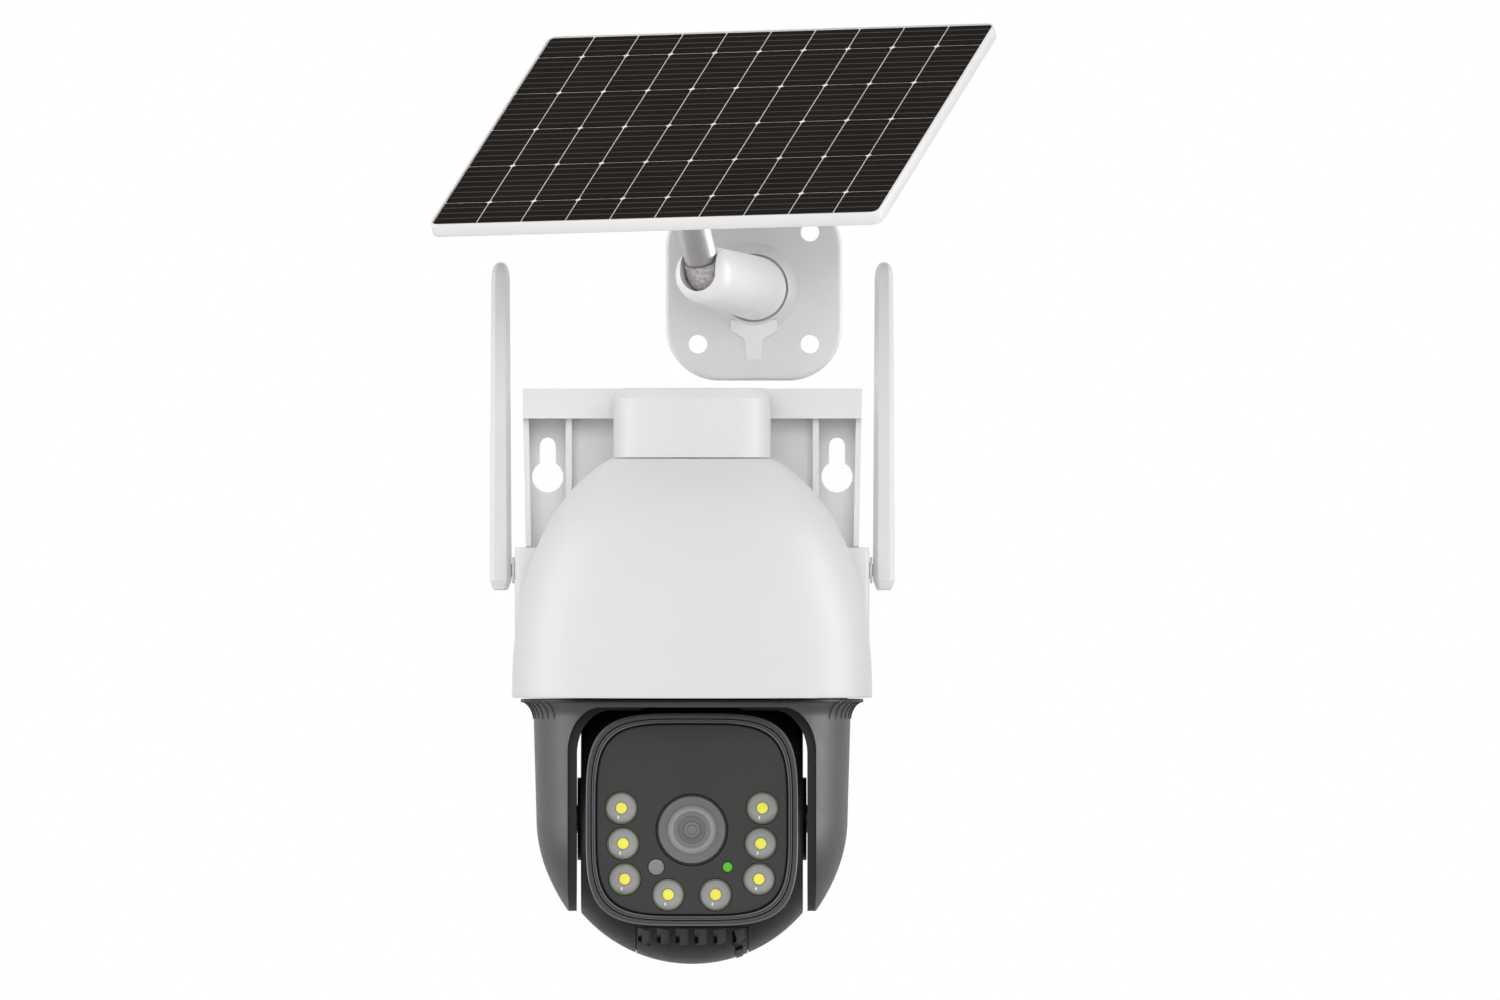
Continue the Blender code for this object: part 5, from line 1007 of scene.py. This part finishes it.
def lamp_places():
    """Middle (x, z) of each lamp, in two leaning columns and a pair below."""
    places = []
    for row in range(3):
        x = LAMP_COLUMN_X - row * LAMP_STEP_IN
        z = LAMP_COLUMN_TOP - row * LAMP_PITCH
        places += [(-x, z), (x, z)]
    return places + [(-LAMP_PAIR_X, LAMP_PAIR_Z), (LAMP_PAIR_X, LAMP_PAIR_Z)]


def face_plate(look):
    """The dark front plate with round openings for the lens, the lamps and the signals."""
    back = FACE_FRONT - FACE
    half = FACE_HALF - FIT
    levels = [(half, back), (half, FACE_FRONT - FACE_EDGE), (half - FACE_EDGE, FACE_FRONT)]
    sheet = loft([level(superellipse(inset), height) for inset, height in levels])
    spots = [(x, z, LAMP_RADIUS + FIT) for x, z in lamp_places()]
    spots += [(0, -LENS_DROP, LENS_HOLE), (-SIGNAL_X, SIGNAL_Z, SENSOR_RADIUS + FIT)]
    spots += [(SIGNAL_X, SIGNAL_Z, STATUS_RADIUS + FIT)]
    holes = [shifted(bored(r, back - LAP, FACE_FRONT + LAP, ROUND_MIDDLE), x, z) for x, z, r in spots]
    plate = carved(sheet, [merged(holes)])
    piece("face_skin", faced(plate), look, "camera_ball", "face_acrylic", ["face_plate"])


def lamps(look):
    """White-light lamps: a thin rim, a dark wall, a bright bowl, a yellow chip and a small white spot that
    is a painted highlight.
    """
    for number, (x, z) in enumerate(lamp_places(), 1):
        lamp = sectioned(LAMP_SECTION, FACE_FRONT, ROUND_MIDDLE)
        spot = moved(sectioned(SPOT_SECTION, 0, ROUND_SPOT), Matrix.Diagonal(SPOT_STRETCH))
        spot = shifted(spot, *SPOT_PLACE, FACE_FRONT)
        piece(f"lamp_{number}", faced(merged([lamp, spot]), x, z), look, "camera_ball", "lamp_lens",
              [f"led_lens_{number}"], ["lamp_lens", "lamp_rim", "lamp_wall", "lamp_chip", "lamp_painted_glint"],
              SOFT_ANGLE)


def signal(name, radius, x, look, slot, replaced):
    """A light guide that ends in a low crown, flush with the face."""
    crown = arc((0, FACE_FRONT - SIGNAL_CROWN), radius - SIGNAL_EDGE, SIGNAL_CROWN, 0, pi / 2, 6)
    profile = [(0, LEDGE_FRONT), (radius, LEDGE_FRONT), (radius, FACE_FRONT - FIT)]
    profile += crown[:-1] + [(0, FACE_FRONT)]
    guide = faced(turned(profile, ROUND_SMALL), x, SIGNAL_Z)
    piece(name, guide, look, "camera_ball", slot, [replaced], sharp=SOFT_ANGLE)


def signals(look):
    """The light sensor's window and the green status light."""
    signal("sensor_skin", SENSOR_RADIUS, -SIGNAL_X, look, "sensor_window", "light_sensor")
    signal("status_skin", STATUS_RADIUS, SIGNAL_X, look, "status_green", "status_led")


def lens(look):
    """The lens: a dished disc whose dark edge is painted shade in the gap round it, a bright barrel ring and
    stepped rings round the pupil.
    """
    eye = ["lens_glass", "lens_ring", "lens_dark_and_painted_shade", "lens_core"]
    rows = [("lens_disc", LENS_DISC, "lens_holder", ["lens_housing", "lens_dark_and_painted_shade"], SMOOTH_ANGLE),
            ("lens_tube", LENS_TUBE, "lens_barrel", ["lens_barrel"], SMOOTH_ANGLE),
            ("lens_eye", LENS_EYE, "lens_glass", eye, SOFT_ANGLE)]
    for name, section, replaced, finishes, sharp in rows:
        ring = faced(sectioned(section, FACE_FRONT - FIT, ROUND_LENS), 0, -LENS_DROP)
        piece(name, ring, look, "camera_ball", finishes[0], [replaced], finishes, sharp)


# Antennas


def antenna_ring(scale, z):
    """The eight-sided section of an antenna."""
    x = ANTENNA_HALF_X * scale
    y = ANTENNA_HALF_Y * scale
    a = x * ANTENNA_FACET
    b = y * ANTENNA_FACET
    return level([(x, b), (a, y), (-a, y), (-x, b), (-x, -b), (-a, -y), (a, -y), (x, -b)], z)


def antenna(side, word, look):
    """A paddle of eight soft-edged facets that narrows upwards to a rounded tip."""
    top = ANTENNA_LENGTH - ANTENNA_BELOW
    levels = [(scale, rise - ANTENNA_BELOW) for scale, rise in ANTENNA_FOOT]
    levels += [(1, ANTENNA_BELOW), (ANTENNA_TAPER, top - ANTENNA_TIP)]
    for bend in [radians(angle) for angle in ANTENNA_BEND]:
        levels += [(ANTENNA_TAPER * cos(bend) ** ANTENNA_BEND_CURVE, top - ANTENNA_TIP * (1 - sin(bend)))]
    levels += [(ANTENNA_TAPER * ANTENNA_POINT, top)]
    face = -side * ANTENNA_HALF_X
    ends = sorted((face - side * LAP, face + side * SOCKET_PIN))
    bore = moved(bored(SOCKET_BORE, *ends), ACROSS)
    blade = carved(loft([antenna_ring(scale, z) for scale, z in levels]), [bore])
    blade = shifted(blade, side * ANTENNA_X, ANTENNA_Y, ANTENNA_Z)
    edges_rounded(piece(f"antenna_{word}_skin", blade, look, f"{word}_antenna", "white_plastic",
                        [f"antenna_{word}"], sharp=ANTENNA_SHARP))


def antennas(look):
    """An antenna at each side of the battery housing."""
    antenna(-1, "left", look)
    antenna(1, "right", look)


# Solar panel's support


def walled(bm):
    """A mesh made about Z with its front upwards, set on the wall at the solar bracket."""
    return moved(bm, Matrix.Translation(SOLAR) @ UPRIGHT)


def base_hub():
    """Section (radius, height) of the raised hub: a hollow flank, and a groove round the elbow's foot."""
    rim = ELBOW_RADIUS + FIT
    root = rim + BASE_HUB_FLARE
    groove = rim + HUB_GROOVE
    lip = groove + HUB_LIP
    rise = BASE_HUB - HUB_EDGE
    flank = [(lip + (root - lip) * (1 - t) ** HUB_CURVE, BASE + rise * t) for t in between(0, 1, 8)]
    bottom = HUB_TOP - 2 * LAP
    inside = [(lip - HUB_EDGE, HUB_TOP), (groove, HUB_TOP), (groove, bottom), (0, bottom)]
    return [(0, BASE - LAP), (root, BASE - LAP)] + flank + inside


def gusset():
    """The drafted rib under the hub, with two short wings, sloping down to the plate."""
    top = -ELBOW_RADIUS
    foot = top - GUSSET_LENGTH + BASE_HUB
    wing = top - GUSSET_WING_DROP
    neck = top - GUSSET_NECK_DROP
    outline = [(-GUSSET_FOOT_HALF, foot), (GUSSET_FOOT_HALF, foot), (GUSSET_HALF, neck), (GUSSET_WING, wing)]
    outline += [(GUSSET_WING, top), (-GUSSET_WING, top), (-GUSSET_WING, wing), (-GUSSET_HALF, neck)]
    spread_out = [(x + copysign(GUSSET_DRAFT, x), z - GUSSET_DRAFT) for x, z in outline]
    rib = loft([level(spread_out, BASE - LAP), level(outline, HUB_TOP - LAP)])
    return sliced(rib, (0, top, HUB_TOP - 2 * LAP), (0, -(BASE_HUB - GUSSET_END), top - foot))


def solar_base(look):
    """The wall plate: a soft front edge, a raised hub, four screw holes and a gusset under the hub."""
    bends = between(0, pi / 2, 5)
    levels = [(0, 0)] + [(BASE_EDGE * (1 - cos(a)), BASE - BASE_EDGE * (1 - sin(a))) for a in bends]
    loops = []
    for inset, height in levels:
        outline = rounded_outline(BASE_WIDTH - 2 * inset, BASE_HEIGHT - 2 * inset, BASE_CORNER - inset)
        loops.append(level(outline, height))
    corners = [(x, z) for x in (-BASE_HOLE_X, BASE_HOLE_X) for z in (-BASE_HOLE_X, BASE_HOLE_X)]
    holes = [shifted(bored(BASE_HOLE, -LAP, BASE + LAP), x, z) for x, z in corners]
    cut = [bored(BASE_RECESS_RADIUS, -LAP, BASE_RECESS), merged(holes)]
    cut += [bored(ELBOW_SPIGOT + TURN_FIT, LAP, HUB_TOP + LAP)]
    # The gusset, finish 1, is painted lighter than the plate: painted light
    plate = carved(loft(loops), cut, [turned(base_hub(), ROUND_LENS), painted(gusset(), 1)])
    piece("solar_base_skin", walled(plate), look, "wall_units", "bracket_plastic", ["solar_base"],
          ["bracket_plastic", "bracket_pale_painted_light"], BASE_SHARP)


def leaning():
    """The rod's lean out of the upright."""
    return Matrix.Rotation(ROD_LEAN, 4, "Y") @ Matrix.Rotation(ROD_PITCH, 4, "X")


def elbow_frame():
    """Where the elbow points and the axis on which the rod tilts."""
    ahead = (KNUCKLE - SOLAR - Vector((0, -HUB_TOP - FIT, 0))).normalized()
    hinge = (leaning().to_3x3() @ Vector((0, 0, 1))).cross(ahead).normalized()
    return ahead, hinge


def laid(bm, axis, side):
    """A mesh made about Z, set at the knuckle with Z along an axis and X along a side."""
    columns = Matrix((side, axis.cross(side), axis)).transposed()
    return moved(bm, Matrix.Translation(KNUCKLE) @ columns.to_4x4())


def sphere_points(centre, radius, around=64, rings=32):
    """Points all over a sphere."""
    points = [centre + Vector((0, 0, radius)), centre - Vector((0, 0, radius))]
    for i in range(1, rings):
        polar = pi * i / rings
        circle = bow(radius * sin(polar), 0, 2 * pi, around)[:-1]
        points += [centre + Vector((x, y, radius * cos(polar))) for x, y in circle]
    return points


def elbow(look):
    """The swivel elbow: a skin from a round foot to a ball-shaped head, with a round-bottomed mouth."""
    ahead, hinge = elbow_frame()
    circle = bow(ELBOW_RADIUS, 0, 2 * pi, ROUND_LENS)[:-1]
    foot = [SOLAR + Vector((x, -HUB_TOP - FIT, z)) for x, z in circle]
    shoulder = [point + Vector((0, -ELBOW_SHOULDER, 0)) for point in foot]
    solid = hull(foot + shoulder + sphere_points(KNUCKLE, ELBOW_HEAD_RADIUS))
    reach = 3 * ELBOW_HEAD_RADIUS
    room = KNUCKLE_RADIUS + FIT
    seat = turned(bow(room, -pi / 2, 0, 12) + [(room, reach), (0, reach)], ROUND_MIDDLE)
    trough = bow(room, pi, 2 * pi, 32) + [(room, reach), (-room, reach)]
    cut = [laid(seat, ahead.cross(hinge), hinge), laid(prism(trough, 0, reach), ahead, hinge)]
    cut += [laid(bored(PIN_BORE, -PIN_HALF, PIN_HALF), hinge, ahead)]
    cut += [walled(bored(SCREW_BORE, -LAP, HUB_TOP + SCREW_BITE))]
    spigot = walled(bored(ELBOW_SPIGOT, BASE_RECESS, HUB_TOP + FIT + LAP))
    # The elbow takes the lighter copy of the bracket plastic: painted light
    piece("elbow_skin", carved(solid, cut, [spigot]), look, "solar_elbow", "bracket_plastic", ["elbow"],
          ["bracket_pale_painted_light"])


def rod(look):
    """The round-ended knuckle and the rod on its neck."""
    place = Matrix.Translation(KNUCKLE) @ leaning()
    shoulder = ROD_START - FIT
    neck = ROD_START + NECK_LENGTH
    profile = bow(KNUCKLE_RADIUS, -pi / 2, 0, 12)
    profile += [(KNUCKLE_RADIUS, shoulder), (NECK_RADIUS, shoulder), (NECK_RADIUS, neck), (0, neck)]
    ahead, hinge = elbow_frame()
    hole = laid(bored(KNUCKLE_BORE, -2 * KNUCKLE_RADIUS, 2 * KNUCKLE_RADIUS), hinge, ahead)
    knuckle = carved(moved(turned(profile, ROUND_MIDDLE), place), [hole])
    piece("knuckle_skin", knuckle, look, "solar_rod", "cast_alloy", ["rod_knuckle"])
    socket = NECK_RADIUS + FIT
    seat = neck + FIT
    end = ROD_LENGTH + STUD_LENGTH
    sleeve = [(socket, ROD_START), (ROD_RADIUS - ROD_EDGE, ROD_START), (ROD_RADIUS, ROD_START + ROD_EDGE)]
    sleeve += [(ROD_RADIUS, ROD_LENGTH), (STUD_RADIUS, ROD_LENGTH), (STUD_RADIUS, end), (0, end), (0, seat)]
    sleeve += [(socket, seat)]
    shaft = moved(turned(sleeve, ROUND_MIDDLE), place)
    piece("rod_skin", shaft, look, "solar_rod", "grey_rod", ["support_rod"])


# Solar panel


def panel_place(shift=(0, 0)):
    """The top of the rod, turned with the panel and shifted in its plane."""
    up = leaning().to_3x3() @ Vector((0, 0, ROD_LENGTH))
    turn = leaning() @ Matrix.Rotation(PANEL_TURN, 4, "Z")
    return Matrix.Translation(KNUCKLE + up) @ turn @ Matrix.Translation((*shift, 0))


def panel_foot(look):
    """The round foot under the panel, in which the rod's stud turns."""
    neck = FIT + FOOT_HEIGHT - FOOT_FLANGE
    top = FIT + FOOT_HEIGHT
    socket = STUD_RADIUS + TURN_FIT
    roof = STUD_LENGTH + FIT
    centre = (FOOT_NECK_RADIUS + FOOT_FILLET, neck - FOOT_FILLET)
    profile = [(socket, FIT), (FOOT_NECK_RADIUS - FOOT_EDGE, FIT), (FOOT_NECK_RADIUS, FIT + FOOT_EDGE)]
    profile += arc(centre, FOOT_FILLET, FOOT_FILLET, pi, pi / 2, 6)
    profile += [(FOOT_RADIUS - FOOT_EDGE, neck), (FOOT_RADIUS, neck + FOOT_EDGE)]
    profile += [(FOOT_RADIUS, top), (0, top), (0, roof), (socket, roof)]
    foot = moved(turned(profile, ROUND_MIDDLE), panel_place())
    piece("panel_foot_skin", foot, look, "solar_panel", "back_sheet", ["panel_foot"])


def panel_frame(look):
    """The rim round the cells, with soft outer edges and a ledge underneath."""
    soft = PANEL_EDGE * (1 - sqrt(0.5))
    ledge = CELLS_BOTTOM - FIT
    levels = [(PANEL_EDGE, PANEL_BACK), (soft, PANEL_BACK + soft), (0, PANEL_BACK + PANEL_EDGE)]
    levels += [(0, PANEL_TOP - PANEL_EDGE), (soft, PANEL_TOP - soft), (PANEL_EDGE, PANEL_TOP)]
    levels += [(FRAME_LIP, PANEL_TOP), (FRAME_LIP, ledge), (FRAME_LEDGE, ledge), (FRAME_LEDGE, PANEL_BACK)]
    loops = []
    for inset, height in levels:
        corner = max(PANEL_CORNER - inset, LAP)
        outline = rounded_outline(PANEL_WIDTH - 2 * inset, PANEL_HEIGHT - 2 * inset, corner, 8)
        loops.append(level(outline, height))
    rim = moved(loft(loops, ring=True), panel_place(CELLS_SHIFT))
    piece("panel_frame_skin", rim, look, "solar_panel", "panel_frame", ["panel_frame"], sharp=SOFT_ANGLE)


def cell_outline(x0, x1, y0, y1, chamfers):
    """A cell with its corners cut where they meet other cells; chamfers are for the four corners."""
    corners = [(x0, y0, 1, 1), (x1, y0, -1, 1), (x1, y1, -1, -1), (x0, y1, 1, -1)]
    points = []
    for turn, ((x, y, sx, sy), cut) in enumerate(zip(corners, chamfers)):
        along = [(x + sx * cut, y), (x, y + sy * cut)]
        points += along if turn % 2 else along[::-1]
    return points


def solar_face(look):
    """The laminate: a pale sheet that shows as lines and diamonds between dark cells with busbars."""
    outline = rounded_outline(CELLS_WIDTH, CELLS_HEIGHT, CELLS_CORNER, 6)
    shapes = [prism(outline, CELLS_BOTTOM, CELLS_SHEET)]
    pitch = CELLS_WIDTH / CELL_COLUMNS
    height = CELLS_HEIGHT / sum(CELL_ROWS)
    gap = CELL_GAP / 2
    half = BUSBAR_WIDTH / 2
    last_row = len(CELL_ROWS) - 1
    last_column = CELL_COLUMNS - 1
    y0 = -CELLS_HEIGHT / 2
    for row, share in enumerate(CELL_ROWS):
        y1 = y0 + share * height
        inner = [row > 0, row > 0, row < last_row, row < last_row]
        first = y1 - height if row == 0 else y0
        middles = [first + height * bar / (BUSBARS + 1) for bar in range(1, BUSBARS + 1)]
        middles = [middle for middle in middles if y0 + 2 * gap < middle < y1 - 2 * gap]
        for column in range(CELL_COLUMNS):
            x0 = column * pitch - CELLS_WIDTH / 2 + gap
            x1 = x0 + pitch - 2 * gap
            beside = [column > 0, column < last_column, column < last_column, column > 0]
            chamfers = [CELL_CHAMFER if a and b else CELL_CORNER for a, b in zip(inner, beside)]
            cell = prism(cell_outline(x0, x1, y0 + gap, y1 - gap, chamfers), CELLS_SHEET, CELLS_TOP)
            shapes.append(painted(cell, 1))
            for middle in middles:
                strip = block(x0, x1, middle - half, middle + half, CELLS_TOP, CELLS_TOP + BUSBAR_PROUD)
                shapes.append(painted(strip, 2))
        y0 = y1
    face = moved(merged(shapes), panel_place(CELLS_SHIFT))
    piece("solar_face", face, look, "solar_panel", "solar_glass", ["solar_laminate"],
          ["cell_line", "solar_glass", "busbar"])


# Solids of the frame


def welded(solid):
    """Joins vertices that lie together."""
    weld = solid.modifiers.new("weld", "WELD")
    weld.merge_threshold = WELD_DISTANCE


def smoothed(solid):
    """Shades the facets of a round solid smooth and leaves its real edges sharp."""
    solid.data.polygons.foreach_set("use_smooth", [True] * len(solid.data.polygons))
    if solid.data.has_custom_normals:
        with bpy.context.temp_override(object=solid, active_object=solid):
            bpy.ops.mesh.customdata_custom_splitnormals_clear()
    welded(solid)
    split = solid.modifiers.new("edges", "EDGE_SPLIT")
    split.split_angle = SMOOTH_ANGLE
    split.use_edge_sharp = False


def softened(solid):
    """Rounds the edges of a moulded solid a little, in place of splitting them."""
    solid.modifiers.remove(solid.modifiers["edges"])
    edges_rounded(solid)
    welded(solid)


def dress(frame, look):
    """Every solid gets the finish of its slot in the record; the wall bracket gets a lighter copy of the
    white, painted light that lifts its shaded recess.
    """
    for entry in frame["record"]["subparts"]:
        solid = frame["nodes"][entry["node"]]
        solid.data.materials.clear()
        # The wall bracket's lighter white is painted light against the shade in its recess
        slot = "bracket_white_painted_light" if entry["node"] == "wall_bracket" else entry["material_slot"]
        solid.data.materials.append(look[slot])
        smoothed(solid)
        if entry["node"] in SOFT_SOLIDS:
            softened(solid)


# Studio


def world():
    """Soft even light; rays that look at the background straight or by reflection see white."""
    made = bpy.data.worlds.new("studio")
    bpy.context.scene.world = made
    made.use_nodes = True
    tree = made.node_tree
    path = node(tree, "LightPath")
    seen = path.outputs["Is Camera Ray"]
    for other in ("Is Glossy Ray", "Is Transmission Ray"):
        either = node(tree, "Math")
        either.operation = "MAXIMUM"
        tree.links.new(seen, either.inputs[0])
        tree.links.new(path.outputs[other], either.inputs[1])
        seen = either.outputs["Value"]
    strength = node(tree, "MapRange", To_Min=WORLD_LIGHT, To_Max=1)
    tree.links.new(seen, strength.inputs["Value"])
    ground = tree.nodes["Background"]
    ground.inputs["Color"].default_value = (1, 1, 1, 1)
    tree.links.new(strength.outputs["Result"], ground.inputs["Strength"])


def placed(name, made, place, target):
    """A lamp at a place that looks at a target and isn't seen by the camera."""
    holder = linked(name, made)
    holder.visible_camera = False
    holder.location = place
    holder.rotation_euler = (Vector(target) - Vector(place)).to_track_quat("-Z", "Y").to_euler()
    return holder


def sky_light(name, share, turn, rise):
    """Broad even light from a direction, `turn` degrees round from the front and `rise` degrees up."""
    made = bpy.data.lights.new(name, "SUN")
    made.energy = pi * share
    made.angle = radians(SKY_SPREAD)
    flat = cos(radians(rise))
    place = (flat * sin(radians(turn)), -flat * cos(radians(turn)), sin(radians(rise)))
    placed(name, made, place, (0, 0, 0)).visible_glossy = False


def gloss_strip(name, size, power, place):
    """A softbox that shows only in glossy surfaces and draws their upright highlights."""
    made = bpy.data.lights.new(name, "AREA")
    made.shape = "RECTANGLE"
    made.size, made.size_y = size
    made.energy = power
    placed(name, made, place, (0, PAN_Y, GLOSS_AIM)).visible_diffuse = False


def floor(height):
    """A pale floor that is clear from below, so that views from under it still show the object."""
    mesh = bpy.data.meshes.new("floor")
    half = FLOOR_SIZE / 2
    corners = level([(-half, -half), (half, -half), (half, half), (-half, half)], height)
    mesh.from_pydata(corners, [], [(0, 1, 2, 3)])
    made, tree, surface = shader("pale_floor")
    tint = tinted(tree, noise(tree, FLOOR_MOTTLE, 3), *FLOOR_SHADES)
    tree.links.new(tint, surface.inputs["Base Color"])
    surface.inputs["Roughness"].default_value = FLOOR_ROUGHNESS
    surface.inputs["Specular IOR Level"].default_value = 0
    clear = node(tree, "BsdfTransparent")
    side = node(tree, "NewGeometry")
    mix = node(tree, "MixShader")
    tree.links.new(side.outputs["Backfacing"], mix.inputs["Fac"])
    tree.links.new(surface.outputs["BSDF"], mix.inputs[1])
    tree.links.new(clear.outputs["BSDF"], mix.inputs[2])
    tree.links.new(mix.outputs["Shader"], tree.nodes["Material Output"].inputs["Surface"])
    mesh.materials.append(made)
    ground = linked("floor", mesh)


def camera():
    """Square on to the wall, far off, framed as the photograph is."""
    made = bpy.data.cameras.new("camera")
    made.sensor_width = SENSOR_WIDTH
    made.lens = SENSOR_WIDTH * CAMERA_DISTANCE / (PICTURE_WIDTH * MM_PER_PIXEL * MM)
    made.clip_end = 4 * CAMERA_DISTANCE
    holder = linked("camera", made)
    holder.location = VIEW_CENTRE + Vector((0, -CAMERA_DISTANCE, 0))
    holder.rotation_euler = (radians(90), 0, 0)
    bpy.context.scene.camera = holder


# Assembly

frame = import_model()
cad_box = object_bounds()
finishes = materials()
dress(frame, finishes)
for build in (dome, cap, yoke, flare_ribs, front_shell, rear_shell, bezel_ring, card_cover, face_plate,
              lamps, signals, lens, antennas, solar_base, elbow, rod, panel_foot, panel_frame, solar_face):
    build(finishes)

bpy.context.scene.view_settings.view_transform = "Standard"
world()
floor(cad_box[0].z - FLOOR_DROP)
for sky in SKY_LIGHTS:
    sky_light(*sky)
for strip in GLOSS_STRIPS:
    gloss_strip(*strip)
camera()
